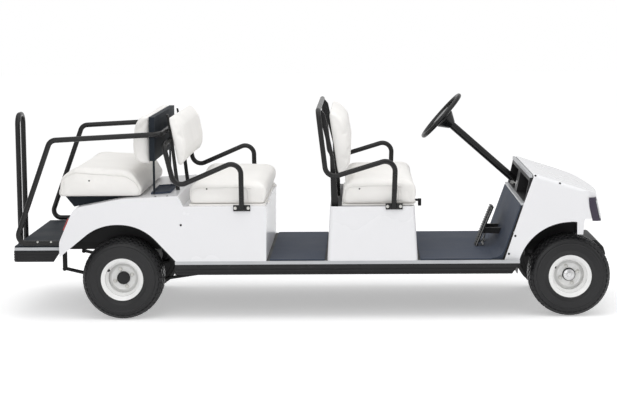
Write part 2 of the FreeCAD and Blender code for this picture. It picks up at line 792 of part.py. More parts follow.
def bumper_form(name, inset):
    """The bumper's outer form, or the space inside it when it is inset by the wall."""
    bumper = prism(name, "side", [
        (BUMPER_BACK + " - (%s)" % inset, "bumper_low + (%s)" % inset),
        ("wheelbase + nose_reach - 24", "bumper_low + (%s)" % inset, "12"),
        ("wheelbase + nose_reach - (%s)" % inset, "bumper_low + 46", "20"),
        ("wheelbase + nose_reach - 14 - (%s)" % inset, "bumper_high - 38", "20"),
        ("wheelbase + nose_reach - 52", "bumper_high - (%s)" % inset, "20"),
        (BUMPER_BACK + " - (%s)" % inset, "bumper_high - (%s)" % inset),
    ], *across("bumper_half - (%s)" % inset))
    front = value(BUMPER_BACK) + 1
    half = value("bumper_half - (%s)" % inset)
    soften(bumper, lambda edge: abs(abs(edge.CenterOfMass.y) - half) < 1 and edge.CenterOfMass.x > front,
           "12 - (%s)" % inset)
    return bumper


def make_front_bumper():
    """Black moulded bumper on the ends of the front rails, open at the back."""
    finish(carve("front_bumper", bumper_form("bumper_outer", "0"), bumper_form("bumper_inner", "panel")),
           "front_bumper")


def make_pedals():
    """Accelerator and brake: ribbed pads on stems that stand on the toe board."""
    pedals = []
    for name, side, wide, shift in (("accelerator", "-45", "90", "0"), ("brake", "130", "120", "20")):
        foot = "toe_foot - 122 + %s" % shift
        head = "toe_foot - 30 + %s" % shift
        pad = prism(name + "_pad", "side", [
            (foot, MAT + " + seam"),
            (foot + " + 12", MAT + " + seam"),
            (head + " + 8", "pedal_high - 6"),
            (head + " - 5", "pedal_high"),
        ], "%s - %s / 2" % (side, wide), "%s + %s / 2" % (side, wide))
        stem = prism(name + "_stem", "side", [
            (foot + " + 40", "pedal_arm_high + 5"),
            ("toe_foot + 18", "pedal_arm_high"),
            ("toe_foot + 32", "pedal_arm_high + 35"),
            (foot + " + 50", "pedal_arm_high + 35"),
        ], "%s - 12" % side, "%s + 12" % side)
        toe = prism(name + "_toe", "side", [
            ("toe_foot - mat_thick - seam", MAT),
            ("toe_foot + 200", MAT),
            ("toe_head + 200", "lip_high"),
            ("toe_head - mat_thick - seam", "lip_high"),
        ], "%s - 20" % side, "%s + 20" % side)
        pedals.append(carve(name, join(name + "_whole", pad, stem), toe))
    finish(together("pedals", *pedals), "pedals")


# ---------------------------------------------------------------------------------------------
# Steering
# ---------------------------------------------------------------------------------------------

def make_steering_wheel():
    """Rim, two-bar spokes and boss, built flat and tilted onto the column."""
    rim = doc.addObject("Part::Torus", "wheel_rim")
    tie(rim, Radius1="(steer_across - steer_grip) / 2", Radius2="steer_grip / 2")
    boss = doc.addObject("Part::Cone", "wheel_boss")
    tie(boss, Radius1="column_across / 2 + 4", Radius2="steer_boss / 2", Height="54")
    boss.setExpression("Placement.Base.z", bound("-(%s) + seam" % COLUMN_TOP))
    cap = doc.addObject("Part::Cylinder", "wheel_cap")
    tie(cap, Radius="steer_boss / 2", Height="36")
    cap.setExpression("Placement.Base.z", bound("-(%s) + seam + 54" % COLUMN_TOP))
    spokes = []
    for i in range(3):
        spoke = doc.addObject("Part::Box", "wheel_spoke_%d" % i)
        tie(spoke, Length="(steer_across - steer_grip) / 2 - 20", Width="26", Height="9")
        turn = Rotation(Vector(0, 0, 1), 60 + 120 * i) * Rotation(Vector(0, 1, 0), -5)
        spoke.Placement = Placement(turn.multVec(Vector(20, -13, -22)), turn)
        spokes.append(spoke)
    wheel = join("steering_wheel", rim, boss, cap, *spokes)
    finish(wheel, "steering_wheel", "steer_x", "steer_y", "steer_z",
           Rotation(Vector(0, 1, 0), value("steer_tilt") - 90))


def make_column():
    """Column jacket, from under the wheel down through the dash."""
    finish(column_line("steering_column", "column_across / 2", COLUMN_TOP, COLUMN_LONG),
           "steering_column",
           "steer_x + (%s) * cos(steer_tilt * 1deg)" % COLUMN_TOP, "steer_y",
           "steer_z - (%s) * sin(steer_tilt * 1deg)" % COLUMN_TOP,
           Rotation(Vector(0, 1, 0), 90 + value("steer_tilt")))


EAR_THICK = 12
SLEEVE_HALF = 28


def make_front_axle(blade):
    """Beam with a kingpin sleeve at each end, pads for the rack housing and pads on the springs."""
    beam = rod("front_beam", "Y", ("wheelbase", "-kingpin_half + beam_across / 2 - 5", AXLE),
               "2 * kingpin_half - beam_across + 10", "beam_across / 2")
    pieces = [beam]
    for name, side in (("left", "kingpin_half"), ("right", "-kingpin_half")):
        sleeve = rod("sleeve_" + name, "Z", ("wheelbase", side, AXLE + " - %d" % SLEEVE_HALF),
                     "%d" % (2 * SLEEVE_HALF), "beam_across / 2")
        pieces.append(sleeve)
    for name, side in (("pad_left", "90"), ("pad_right", "-90")):
        pieces.append(box(name, ("wheelbase", "wheelbase + arm_reach - 20"),
                          ("%s - 15" % side, "%s + 15" % side), ("rack_high - 8", "rack_high + 8")))
    pad = box("front_spring_pad", ("wheelbase - 28", "wheelbase + 28"),
              ("nose_rail_half - leaf_wide / 2", "nose_rail_half + leaf_wide / 2"),
              (AXLE, AXLE + " + beam_across / 2 + 10"))
    axle = join("front_axle_whole", pad, mirrored("front_pad_other", pad), *pieces)
    bores = [rod("kingpin_bore_" + name, "Z", ("wheelbase", side, AXLE + " - 40"), "80",
                 "kingpin_across / 2 + seam")
             for name, side in (("left", "kingpin_half"), ("right", "-kingpin_half"))]
    rack = rod("rack_clear", "Y", ("wheelbase + arm_reach", "-120", "rack_high"), "240", "22")
    other = mirrored("front_blade_other", blade)
    finish(carve("front_axle", axle, rack, blade, other, *bores), "front_axle")


def make_gear():
    """Rack housing, carried by the axle's pads."""
    housing = rod("gear_tube", "Y", ("wheelbase + arm_reach", "-120", "rack_high"), "240", "22")
    pinion = rod("gear_pinion", "Z", ("wheelbase + arm_reach", "60", "rack_high"), "48", "20")
    bore = rod("gear_bore", "Y", ("wheelbase + arm_reach", "-130", "rack_high"), "260",
               "rack_across / 2 + seam")
    finish(carve("steering_gear", join("gear_whole", housing, pinion), bore), "steering_gear")


def make_rack():
    """Rack bar with tie rods and an eye over each steering arm."""
    reach = "kingpin_half - arm_inset"
    bar = rod("rack_bar", "Y", ("wheelbase + arm_reach", "-(%s)" % reach, "rack_high"),
              "2 * (%s)" % reach, "rack_across / 2")
    eyes = [rod("rod_eye_" + name, "Z", ("wheelbase + arm_reach", side, "rack_high - eye_high / 2"),
                "eye_high", "eye_high - 3")
            for name, side in (("left", reach), ("right", "-(%s)" % reach))]
    finish(join("tie_rods", bar, *eyes), "tie_rods")


def make_knuckles():
    """Steering knuckles: a fork over the sleeve, kingpin, spindle and steering arm."""
    low = AXLE + " - %d - seam - %d" % (SLEEVE_HALF, EAR_THICK)
    high = AXLE + " + %d + seam" % SLEEVE_HALF
    pin = rod("knuckle_pin", "Z", ("wheelbase", "kingpin_half", low),
              "%d + 2 * seam" % (2 * SLEEVE_HALF + 2 * EAR_THICK), "kingpin_across / 2")
    ears = []
    for name, start in (("ear_low", low), ("ear_high", high)):
        ears.append(box(name, ("wheelbase - 22", "wheelbase + 22"),
                        ("kingpin_half - 18", "kingpin_half + 42"), (start, start + " + %d" % EAR_THICK)))
    web = box("knuckle_web", ("wheelbase - 22", "wheelbase + 22"),
              ("kingpin_half + 29", "kingpin_half + 42"), (low, high + " + %d" % EAR_THICK))
    spindle = rod("knuckle_spindle", "Y", ("wheelbase", "kingpin_half + 40", AXLE),
                  "front_track / 2 + disc_out - kingpin_half - 48", "spindle_across / 2")
    arm = prism("knuckle_arm", "plan", [
        ("wheelbase", "kingpin_half - 15"),
        ("wheelbase + arm_reach + 15", "kingpin_half - arm_inset - 15", "14"),
        ("wheelbase + arm_reach + 15", "kingpin_half - arm_inset + 15", "14"),
        ("wheelbase + 20", "kingpin_half + 14"),
        ("wheelbase", "kingpin_half + 14"),
    ], low, "rack_high - eye_high / 2 - seam")
    knuckle = join("knuckle", pin, web, spindle, arm, *ears)
    finish(together("knuckle_left", knuckle), "knuckle_left")
    finish(mirrored("knuckle_right", knuckle), "knuckle_right")


# ---------------------------------------------------------------------------------------------
# Wheels
# ---------------------------------------------------------------------------------------------

RIM_OUT = "rim_wide / 2"
SEAT = "bead_seat / 2"


def tyre_outline():
    """Half width and radius round a low-pressure tyre, bead to bead; few faces, as its look is added later."""
    left = [
        ("%s - 12" % RIM_OUT, SEAT + " + 1"),
        ("%s - 12" % RIM_OUT, "rim_outer / 2 + 1"),
        ("tyre_wide / 2", "rim_outer / 2 + 26"),
        ("tyre_wide / 2", "tyre_outer / 2 - 34"),
        ("tread_wide / 2", "tyre_outer / 2"),
    ]
    right = [("-(%s)" % along, radius) for along, radius in reversed(left)]
    return left + right


def rim_outline():
    """Section of the steel rim: two flanges, bead seats, drop centre and the dished disc."""
    return [
        (RIM_OUT, "rim_outer / 2"),
        (RIM_OUT + " - rim_sheet", "rim_outer / 2"),
        (RIM_OUT + " - 12", SEAT),
        ("30 + disc_out", SEAT),
        ("22 + disc_out", SEAT + " - 14"),
        ("-20", SEAT + " - 14"),
        ("-30", SEAT),
        ("-" + RIM_OUT + " + 12", SEAT),
        ("-" + RIM_OUT + " + rim_sheet", "rim_outer / 2"),
        ("-" + RIM_OUT, "rim_outer / 2"),
        ("-" + RIM_OUT + " + 9", SEAT + " - rim_sheet"),
        ("-33", SEAT + " - rim_sheet"),
        ("-22", SEAT + " - 14 - rim_sheet"),
        ("disc_out - 26", SEAT + " - 14 - rim_sheet"),
        ("disc_out - 2", "hub_across"),
        ("disc_out - rim_sheet", "hub_across / 2 + 24"),
        ("disc_out - rim_sheet", "hub_across / 2"),
        ("disc_out", "hub_across / 2"),
        ("disc_out", "hub_across / 2 + 26"),
        ("disc_out + 3", "hub_across + 3"),
        ("disc_out - 14", SEAT + " - 14 - rim_sheet"),
        ("24 + disc_out", SEAT + " - 14 - rim_sheet"),
        ("33 + disc_out", SEAT + " - rim_sheet"),
        (RIM_OUT + " - 9", SEAT + " - rim_sheet"),
    ]


def hub_outline(inner, bore, nose):
    """Hub: drum end, flange against the disc and nose through it, bored for its spindle."""
    bore_end = "disc_out + %s - 6" % nose
    return [
        (inner, bore),
        (inner, "hub_across / 2 + 10"),
        ("disc_out - rim_sheet - 10", "hub_across / 2 + 10"),
        ("disc_out - rim_sheet - 10", "hub_across / 2 + 18"),
        ("disc_out - rim_sheet", "hub_across / 2 + 18"),
        ("disc_out - rim_sheet", "hub_across / 2 - seam"),
        ("disc_out + %s" % nose, "hub_across / 2 - 3", "4"),
        ("disc_out + %s" % nose, "0"),
        (bore_end, "0"),
        (bore_end, bore),
    ]


WHEELS = (
    # name, station, side, half track, hub starts this far from the centre plane, spindle, nose
    ("front_left", "wheelbase", 1, "front_track / 2", "kingpin_half + 46 - front_track / 2",
     "spindle_across / 2 + seam", "20"),
    ("front_right", "wheelbase", -1, "front_track / 2", "kingpin_half + 46 - front_track / 2",
     "spindle_across / 2 + seam", "20"),
    ("rear_left", "0", 1, "rear_track / 2", "-80", "spindle_across / 2 + 4 + seam", "14"),
    ("rear_right", "0", -1, "rear_track / 2", "-80", "spindle_across / 2 + 4 + seam", "14"),
)


def make_wheels():
    """Four wheels, each a tyre and a steel rim with its hub."""
    for name, station, side, half, inner, bore, nose in WHEELS:
        turn = Rotation(Vector(0, 0, 1), 0 if side > 0 else 180)
        y = half if side > 0 else "-(%s)" % half
        tyre = turned("tyre_" + name, tyre_outline())
        finish(tyre, "tyre_" + name, station, y, AXLE, turn)
        rim = turned("steel_rim_" + name, rim_outline())
        hub = turned("hub_" + name, hub_outline(inner, bore, nose))
        finish(join("rim_" + name, rim, hub), "rim_" + name, station, y, AXLE, turn)


# ---------------------------------------------------------------------------------------------
# Rear axle, springs, batteries
# ---------------------------------------------------------------------------------------------

def make_rear_axle(blade):
    """Axle tube with half shafts, differential, the drive motor and a pad on each spring."""
    tube = rod("axle_tube", "Y", ("0", "-rear_track / 2 + 84", AXLE), "rear_track - 168", "axle_across / 2")
    shaft = rod("half_shafts", "Y", ("0", "-rear_track / 2 - disc_out + 8", AXLE),
                "rear_track + 2 * disc_out - 16", "spindle_across / 2 + 4")
    case = turned("diff_case", [("-80", "0"), ("-80", "60", "20"), ("-30", "95", "20"),
                                ("30", "95", "20"), ("80", "60", "20"), ("80", "0")])
    place(case, "0", "40", AXLE)
    motor = rod("drive_motor", "Y", ("-150", "-230", AXLE + " + 10"), "motor_long", "motor_radius")
    arm = box("motor_foot", ("-150", "0"), ("-10", "60"), (AXLE + " - 40", AXLE + " + 50"))
    pad = box("rear_spring_pad", ("-32", "32"),
              (REAR_LEAF_SIDE + " - leaf_wide / 2", REAR_LEAF_SIDE + " + leaf_wide / 2"), ("spring_seat", AXLE))
    whole = join("rear_axle_whole", tube, shaft, case, motor, arm, pad, mirrored("rear_pad_other", pad))
    finish(carve("rear_axle", whole, blade, mirrored("rear_blade_other", blade)), "rear_axle")


def leaf_blade(name, side, points, bow):
    """One bowed leaf, drawn from its back eye, the low point of its bow and its front eye."""
    (back_x, back_z), (mid_x, mid_z), (front_x, front_z) = points
    return prism(name, "side", [
        (back_x, back_z),
        (mid_x, mid_z, bow),
        (front_x, front_z),
        (front_x, front_z + " + leaf_thick"),
        (mid_x, mid_z + " + leaf_thick", bow + " - leaf_thick"),
        (back_x, back_z + " + leaf_thick"),
    ], side + " - leaf_wide / 2", side + " + leaf_wide / 2")


def leaf_spring(name, blade, side, eyes, rail_low):
    """A blade with an eye at each end and a hanger from each eye to the rail."""
    wide = (side + " - leaf_wide / 2", side + " + leaf_wide / 2")
    pieces = [blade]
    for i, (x, z) in enumerate(eyes):
        pieces.append(rod("%s_eye_%d" % (name, i), "Y", (x, wide[0], z + " + leaf_thick / 2"),
                          "leaf_wide", "leaf_thick"))
        pieces.append(box("%s_hanger_%d" % (name, i), (x + " - 10", x + " + 10"), wide,
                          (z + " + leaf_thick", rail_low[i])))
    return join(name, *pieces)


REAR_LEAF_SIDE = "(rail_half + rail_wide / 2 + leaf_wide / 2)"
REAR_LEAF = (("-357", "252"), ("20", "162"), ("525", "236"))
FRONT_LEAF = (("wheelbase - 210", "292"), ("wheelbase", AXLE + " + beam_across / 2 - 8"),
              ("wheelbase + 88", "288"))


def make_springs():
    """Leaf springs under both axles, hung from the rails; returns the blades that the axles seat."""
    rear_blade = leaf_blade("rear_blade", REAR_LEAF_SIDE, REAR_LEAF, "rear_leaf_bow")
    rear = leaf_spring("rear_leaf", rear_blade, REAR_LEAF_SIDE, (REAR_LEAF[0], REAR_LEAF[2]),
                       (REAR_RAIL_LOW + " + 20", "frame_top - 20"))
    front_blade = leaf_blade("front_blade", "nose_rail_half", FRONT_LEAF, "front_leaf_bow")
    rail_low = "frame_top + nose_kick - rail_high"
    front = leaf_spring("front_leaf", front_blade, "nose_rail_half", (FRONT_LEAF[0], FRONT_LEAF[2]),
                        (rail_low, rail_low))
    springs = together("leaf_springs", rear, mirrored("rear_leaf_other", rear), front,
                       mirrored("front_leaf_other", front))
    finish(springs, "leaf_springs")
    return rear_blade, front_blade


def make_battery_pack():
    pack = box("battery_pack", ("floor_back + 20", "bench_front - 30"), across("battery_half"),
               (FLOOR, FLOOR + " + battery_high"))
    finish(pack, "battery_pack")


# ---------------------------------------------------------------------------------------------
# Seat bases and rear body
# ---------------------------------------------------------------------------------------------

def upright_corner(high_low, high_top):
    """Test for the edges that stand upright between two heights."""
    def test(edge):
        tall = edge.BoundBox.ZLength
        return tall > (value(high_top) - value(high_low)) * 0.8
    return test


def make_front_base():
    """White box under the front bench, open above and below."""
    base = prism("front_seat_base", "side", [
        ("base_back - base_flare", FLOOR),
        ("base_front + base_flare", FLOOR),
        ("base_front", "base_top"),
        ("base_back", "base_top"),
    ], *across("body_half"))
    soften(base, upright_corner(FLOOR, "base_top"), "24")
    hollow(base, lambda face: abs(normal(face).z) > 0.9, "panel")
    finish(base, "front_seat_base")


# Lines of the rear body's top, as back and front (x, z) corners.
FENDER = (("-shoulder_back", "shoulder_high"), ("0", "fender_high"))
TAIL_SLOPE = (("-tail_back", "tail_crease"), ("-shoulder_back", "shoulder_high"))
DECK = (("0", "fender_high"), ("deck_front", "deck_high"))


def make_rear_body():
    """White rear body: fenders, deck and middle bench in one skin, open below."""
    body = prism("rear_skin", "side", [
        ("-tail_back", "tail_low"),
        ("-tail_back", "tail_crease", "80"),
        ("-shoulder_back", "shoulder_high", "60"),
        ("0", "fender_high", "600"),
        ("deck_front", "deck_high", "12"),
        ("deck_front + 30", "bench_top"),
        ("bench_front", "bench_top", "10"),
        ("bench_front - 4", FLOOR),
        ("rear_arch_front", FLOOR),
        ("rear_arch_ahead", "rear_arch_high", "arch_round"),
        ("-rear_arch_behind", "rear_arch_high", "arch_round"),
    ], *across("body_half"))
    hollow(body, lambda face: normal(face).z < -0.2, "panel")
    step = box("step_gap", ("-tail_back - 1", "-tail_back + 30"), across("body_half - panel - 0.01"),
               ("tail_low - 10", "step_top + seam"))
    bin_mouth = box("bench_mouth", ("deck_front + 90", "bench_front - 40"), across("body_half - 90"),
                    ("bench_top - 20", "bench_top + 1"))
    finish(carve("rear_body", body, step, bin_mouth), "rear_body")


# ---------------------------------------------------------------------------------------------
# Benches
# ---------------------------------------------------------------------------------------------

# Back faces of the front two backrests, as lower and upper (x, z) corners.
FRONT_BACK = (("base_back + 45", "front_rest_foot"), ("base_back - 29", "front_rest_head"))
BASE_REAR = (("base_back - base_flare", FLOOR), ("base_back", "base_top"))
MIDDLE_BACK = (("deck_front - 8", "middle_rest_foot"), ("deck_front - 84", "middle_rest_head"))


def seat_hinge(name, start, axis, pan_low):
    """Two hinge barrels ahead of a seat pan, each on a leaf from the pan's front edge."""
    middle = "%s + pan_thick / 2" % pan_low
    pieces = []
    for i, side in enumerate(("cushion_half - 160", "-cushion_half + 160")):
        wide = (side + " - hinge_long / 2", side + " + hinge_long / 2")
        pieces.append(box("%s_leaf_%d" % (name, i), (start, axis), wide,
                          (middle + " - 2", middle + " + 2")))
        pieces.append(rod("%s_barrel_%d" % (name, i), "Y", (axis, wide[0], middle), "hinge_long",
                          "pan_thick / 2 - seam"))
    return pieces


def make_front_bench():
    pan_low = "base_top + seam"
    pan = box("front_seat_plate", ("base_back + 66", "base_front - 4"), across("cushion_half - 10"),
              (pan_low, "base_top + seam + pan_thick"))
    hinge = seat_hinge("front_hinge", "base_front - 5", "base_front + hinge_ahead", pan_low)
    finish(join("front_seat_pan", pan, *hinge), "front_seat_pan")
    low = "base_top + 2 * seam + pan_thick"
    cushion = prism("front_cushion", "side", [
        ("base_back + 60", low, "12"),
        ("base_back + 60", "%s + cushion_thick - 14" % low, "40"),
        ("base_front - 130", "%s + cushion_thick" % low, "400"),
        ("base_front + 30", "%s + cushion_thick - 4" % low, "55"),
        ("base_front + 24", low, "20"),
    ], *across("cushion_half"))
    finish(cushion, "front_cushion")
    back = prism("front_backrest", "side", [
        FRONT_BACK[0] + ("12",),
        FRONT_BACK[1] + ("24",),
        ("base_back + 52", "front_rest_head + 12", "45"),
        ("base_back + 114", "front_rest_foot + 170", "200"),
        ("base_back + 98", "front_rest_foot + 60", "40"),
        ("base_back + 66", "front_rest_foot + 4", "10"),
    ], *across("back_half"))
    finish(back, "front_backrest")


def seat_frame(name, cross, plate_x, plate_z, points):
    """Tubular hip restraint: a cross bar behind the backrest, a leg and an arm on each side."""
    left = [(x, "frame_half", z) for x, z in points]
    right = [(x, "-frame_half", z) for x, z in reversed(points)]
    tube = bent_tube(name + "_tube", left + [(cross[0], "frame_half", cross[1]),
                                             (cross[0], "-frame_half", cross[1])] + right,
                     "55", "frame_tube / 2")
    plate = box(name + "_plate", ("%s - 47" % plate_x, "%s + 47" % plate_x),
                ("body_half", "frame_half - frame_tube / 2 + 6"), ("%s - 17" % plate_z, "%s + 17" % plate_z))
    return join(name, tube, plate, mirrored(name + "_plate_other", plate))


def make_front_seat_frame():
    frame = seat_frame("front_frame", ("base_back - 62", "front_rest_head + 9"), "base_back + 355", "base_top", [
        ("base_back + 353", "base_top - 8"),
        ("base_back + 364", "arm_high"),
        ("base_back - 18", "front_rest_foot - 1"),
    ])
    posts = []
    low = "front_rest_foot + 110"
    high = "front_rest_head - 16"
    for i, side in enumerate(("back_half - 60", "-back_half + 60")):
        posts.append(prism("front_post_%d" % i, "side", [
            (on_line(*BASE_REAR, "post_foot") + " + panel + seam", "post_foot"),
            ("base_back + 44", "post_foot"),
            ("base_back + 44", "base_top + 30"),
            (on_line(*FRONT_BACK, low) + " - seam", low),
            (on_line(*FRONT_BACK, high) + " - seam", high),
            ("base_back - 44", "front_rest_head + 6"),
            ("base_back - 62", "front_rest_head + 6"),
            (on_line(*FRONT_BACK, low) + " - 22", low),
            (on_line(*BASE_REAR, "base_top") + " + panel + seam", "base_top"),
        ], "%s - 14" % side, "%s + 14" % side))
    finish(join("front_seat_frame", frame, *posts), "front_seat_frame")


def make_middle_bench():
    pan_low = "bench_top + seam"
    pan = box("middle_seat_plate", ("deck_front + 60", "bench_front - 6"), across("cushion_half - 10"),
              (pan_low, "bench_top + seam + pan_thick"))
    hinge = seat_hinge("middle_hinge", "bench_front - 7", "bench_front + hinge_ahead", pan_low)
    finish(join("middle_seat_pan", pan, *hinge), "middle_seat_pan")
    low = "bench_top + 2 * seam + pan_thick"
    cushion = prism("middle_cushion", "side", [
        ("deck_front + 45", low, "12"),
        ("deck_front + 45", "%s + cushion_thick - 10" % low, "45"),
        ("bench_front - 160", "%s + cushion_thick - 10" % low, "400"),
        ("bench_front + 26", "%s + cushion_thick - 14" % low, "50"),
        ("bench_front + 16", low, "20"),
    ], *across("cushion_half"))
    finish(cushion, "middle_cushion")
    back = prism("middle_backrest", "side", [
        MIDDLE_BACK[0] + ("10",),
        MIDDLE_BACK[1] + ("22",),
        ("deck_front - 12", "middle_rest_head - 12", "36"),
        ("deck_front + 42", "middle_rest_foot + 95", "60"),
        ("deck_front + 28", "middle_rest_foot + 12", "20"),
    ], *across("back_half"))
    finish(back, "middle_backrest")
    frame = seat_frame("middle_frame", ("deck_front - 72", "middle_arm_high + 83"), "deck_front + 356", "bench_top - 9", [
        ("deck_front + 356", "bench_top - 14"),
        ("deck_front + 354", "middle_arm_high"),
        ("deck_front - 14", "middle_arm_low"),
    ])
    posts = []
    low = "middle_rest_head - 92"
    high = "middle_rest_head - 22"
    for i, side in enumerate(("280", "-280")):
        posts.append(prism("middle_post_%d" % i, "side", [
            ("deck_front - 40", at_station(*DECK, "deck_front - 40")),
            ("deck_front - 18", at_station(*DECK, "deck_front - 18")),
            (on_line(*MIDDLE_BACK, low) + " - seam", low),
            (on_line(*MIDDLE_BACK, high) + " - seam", high),
            (on_line(*MIDDLE_BACK, high) + " - 10", high),
            (on_line(*MIDDLE_BACK, low) + " - 18", low),
        ], "%s - 6" % side, "%s + 6" % side))
    finish(join("middle_seat_frame", frame, *posts), "middle_seat_frame")


def make_rear_bench():
    """Rear-facing bench: seat box, cushion, back board with its cushion, and the deck plate."""
    seat_box = prism("rear_seat_box", "side", [
        ("-shoulder_back + 30", at_station(*FENDER, "-shoulder_back + 30")),
        ("20", at_station(*FENDER, "20") + " + 1"),
        ("20", "rear_pan_high"),
        ("-shoulder_back - 64", "rear_pan_high"),
        ("-shoulder_back - 13", "shoulder_high - 4"),
    ], *across("480"))
    finish(seat_box, "rear_seat_box")
    low = "rear_pan_high + seam"
    cushion = prism("rear_cushion", "side", [
        ("-350", low, "12"),
        ("-372", "rear_cushion_high - 86", "25"),
        ("-290", "rear_cushion_high", "40"),
        ("40", "rear_cushion_high - 18", "60"),
        ("150", "rear_cushion_high - 86", "40"),
        ("110", low, "16"),
    ], *across("rear_cushion_half"))
    finish(cushion, "rear_cushion")
    board = box("back_board", ("board_back", "board_back + board_thick"), across("board_half"),
                ("board_low", "board_high"))
    posts = [prism("board_post_%d" % i, "side", [
        ("board_back + 6", at_station(*DECK, "board_back + 6")),
        ("board_back + 16", at_station(*DECK, "board_back + 16")),
        ("board_back + 16", "board_low + 1"),
        ("board_back + 6", "board_low + 1"),
    ], "%s - 12" % side, "%s + 12" % side) for i, side in enumerate(("430", "-430"))]
    finish(join("rear_back_board", board, *posts), "rear_back_board")
    back = prism("rear_backrest", "side", [
        ("board_back - seam", "rear_rest_foot", "18"),
        ("board_back - seam", "rear_rest_head", "22"),
        ("board_back - 66", "rear_rest_head - 12", "45"),
        ("board_back - 95", "rear_rest_foot + 98", "80"),
        ("board_back - 86", "rear_rest_foot", "25"),
    ], *across("rear_back_half"))
    finish(back, "rear_backrest")


def make_grab_rails():
    """One tube: foot on the step, up beside the rear bench, across behind the seat backs, and back."""
    side = [
        ("-tail_back - 2", "step_top + rail_tube / 2"),
        ("-rail_low_bend", "step_top + rail_tube / 2"),
        ("-386", "rail_high_back"),
        ("227", "rail_high_front"),
    ]
    left = [(x, "rail_out", z) for x, z in side]
    right = [(x, "-rail_out", z) for x, z in reversed(side)]
    finish(bent_tube("grab_rails", left + right, "46", "rail_tube / 2"), "grab_rails")


# ---------------------------------------------------------------------------------------------
# Rear step
# ---------------------------------------------------------------------------------------------

def make_step():
    """Footboard: a folded tray on the rear rails, with its bumper and the centre handle."""
    tray = box("step_tray", ("-step_back", "-step_front"), across("step_half"),
               ("step_top - step_lip", "step_top"))
    under = box("step_under", ("-step_back + step_plate", "-step_front + 1"),
                across("step_half - step_plate"), ("step_top - step_lip - 1", STEP_UNDER))
    finish(carve("footboard", tray, under), "footboard")
    top = "step_top - step_lip"
    guard = prism("guard_skin", "plan", [
        ("-step_front", "-step_half"),
        ("-step_back - 9", "-step_half", "30"),
        ("-step_back - 9", "step_half", "30"),
        ("-step_front", "step_half"),
        ("-step_front", "step_half - guard_thick"),
        ("-step_back - 9 + guard_thick", "step_half - guard_thick", "16"),
        ("-step_back - 9 + guard_thick", "-step_half + guard_thick", "16"),
        ("-step_front", "-step_half + guard_thick"),
    ], "%s - guard_high" % top, top)
    rake = prism("guard_rake", "side", [
        ("-step_front - guard_rake", "%s - guard_high - 1" % top),
        ("-step_front + 1", "%s - guard_high - 1" % top),
        ("-step_front + 1", top),
        ("-step_front", top),
    ], *across("step_half + 1"))
    finish(carve("rear_bumper", guard, rake), "rear_bumper")
    legs = [("-500", "handle_half", "handle_low"), ("-handle_back", "handle_half", "handle_low"),
            ("-handle_back", "handle_half", "handle_top - handle_tube / 2")]
    other = [(x, "-handle_half", z) for x, side, z in reversed(legs)]
    finish(bent_tube("grab_handle", legs + other, "60", "handle_tube / 2"), "grab_handle")
    foot = "tail_crease + 62"
    head = "tail_crease + 126"
    lamp = prism("tail_lamp", "side", [
        (on_line(*TAIL_SLOPE, foot) + " - seam", foot),
        (on_line(*TAIL_SLOPE, head) + " - seam", head),
        (on_line(*TAIL_SLOPE, head) + " - 10", head + " + 4", "3"),
        (on_line(*TAIL_SLOPE, foot) + " - 10", foot + " + 4", "3"),
    ], "body_half - 92", "body_half - 22")
    finish(both_sides("tail_lamps", lamp), "tail_lamps")


def make_lever():
    """Direction lever on the front of the seat base."""
    face = (("base_front + base_flare", FLOOR), ("base_front", "base_top"))
    plate = prism("lever_plate", "side", [
        (on_line(*face, "560"), "560"),
        ("base_front + 14", "560"),
        ("base_front + 14", "625"),
        (on_line(*face, "625"), "625"),
    ], "-30", "30")
    handle = rod("lever_handle", "X", ("base_front + 8", "0", "lever_high"), "lever_out", "7")
    grip = rod("lever_grip", "Z", ("base_front + 8 + lever_out", "0", "lever_high - 34"), "42", "10")
    finish(join("direction_lever", plate, handle, grip), "direction_lever")


make_frame()
make_floor()
make_mats()
make_rockers()
make_trims()
make_cowl()
make_liners()
make_dash()
make_lamps()
make_front_bumper()
make_pedals()
make_steering_wheel()
make_column()
rear_blade, front_blade = make_springs()
make_front_axle(front_blade)
make_gear()
make_rack()
make_knuckles()
make_wheels()
make_rear_axle(rear_blade)
make_battery_pack()
make_front_base()
make_rear_body()
make_front_bench()
make_front_seat_frame()
make_middle_bench()
make_rear_bench()
make_grab_rails()
make_step()
make_lever()

# ---------------------------------------------------------------------------------------------
# Check the document and write the sub-parts
# ---------------------------------------------------------------------------------------------

doc.recompute()
for thing in doc.Objects:
    if "Invalid" in thing.State or "Error" in thing.State:
        raise RuntimeError("%s failed: %s" % (thing.Label, thing.State))
for thing in NODES:
    if thing.Shape.isNull() or not thing.Shape.isValid() or not thing.Shape.Solids:
        raise RuntimeError("%s has no valid shape" % thing.Label)

os.makedirs("parts", exist_ok=True)
for thing in NODES:
    thing.Shape.exportStep("parts/%s.step" % thing.Label)
print("%d sub-parts written" % len(NODES))
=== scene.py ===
# %% [markdown]
# # Six-seat golf cart
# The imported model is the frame: it carries every rigid piece at its real size and knows how each body
# moves. This lesson dresses it. It gives each surface a finish, swaps the plain foam blocks for
# upholstered cushions, puts tread on the tyres, and adds the small hardware that the frame leaves out.

# %% Load the frame
import json
import math
import bpy
from mathutils import Matrix, Vector
from mathutils.kdtree import KDTree


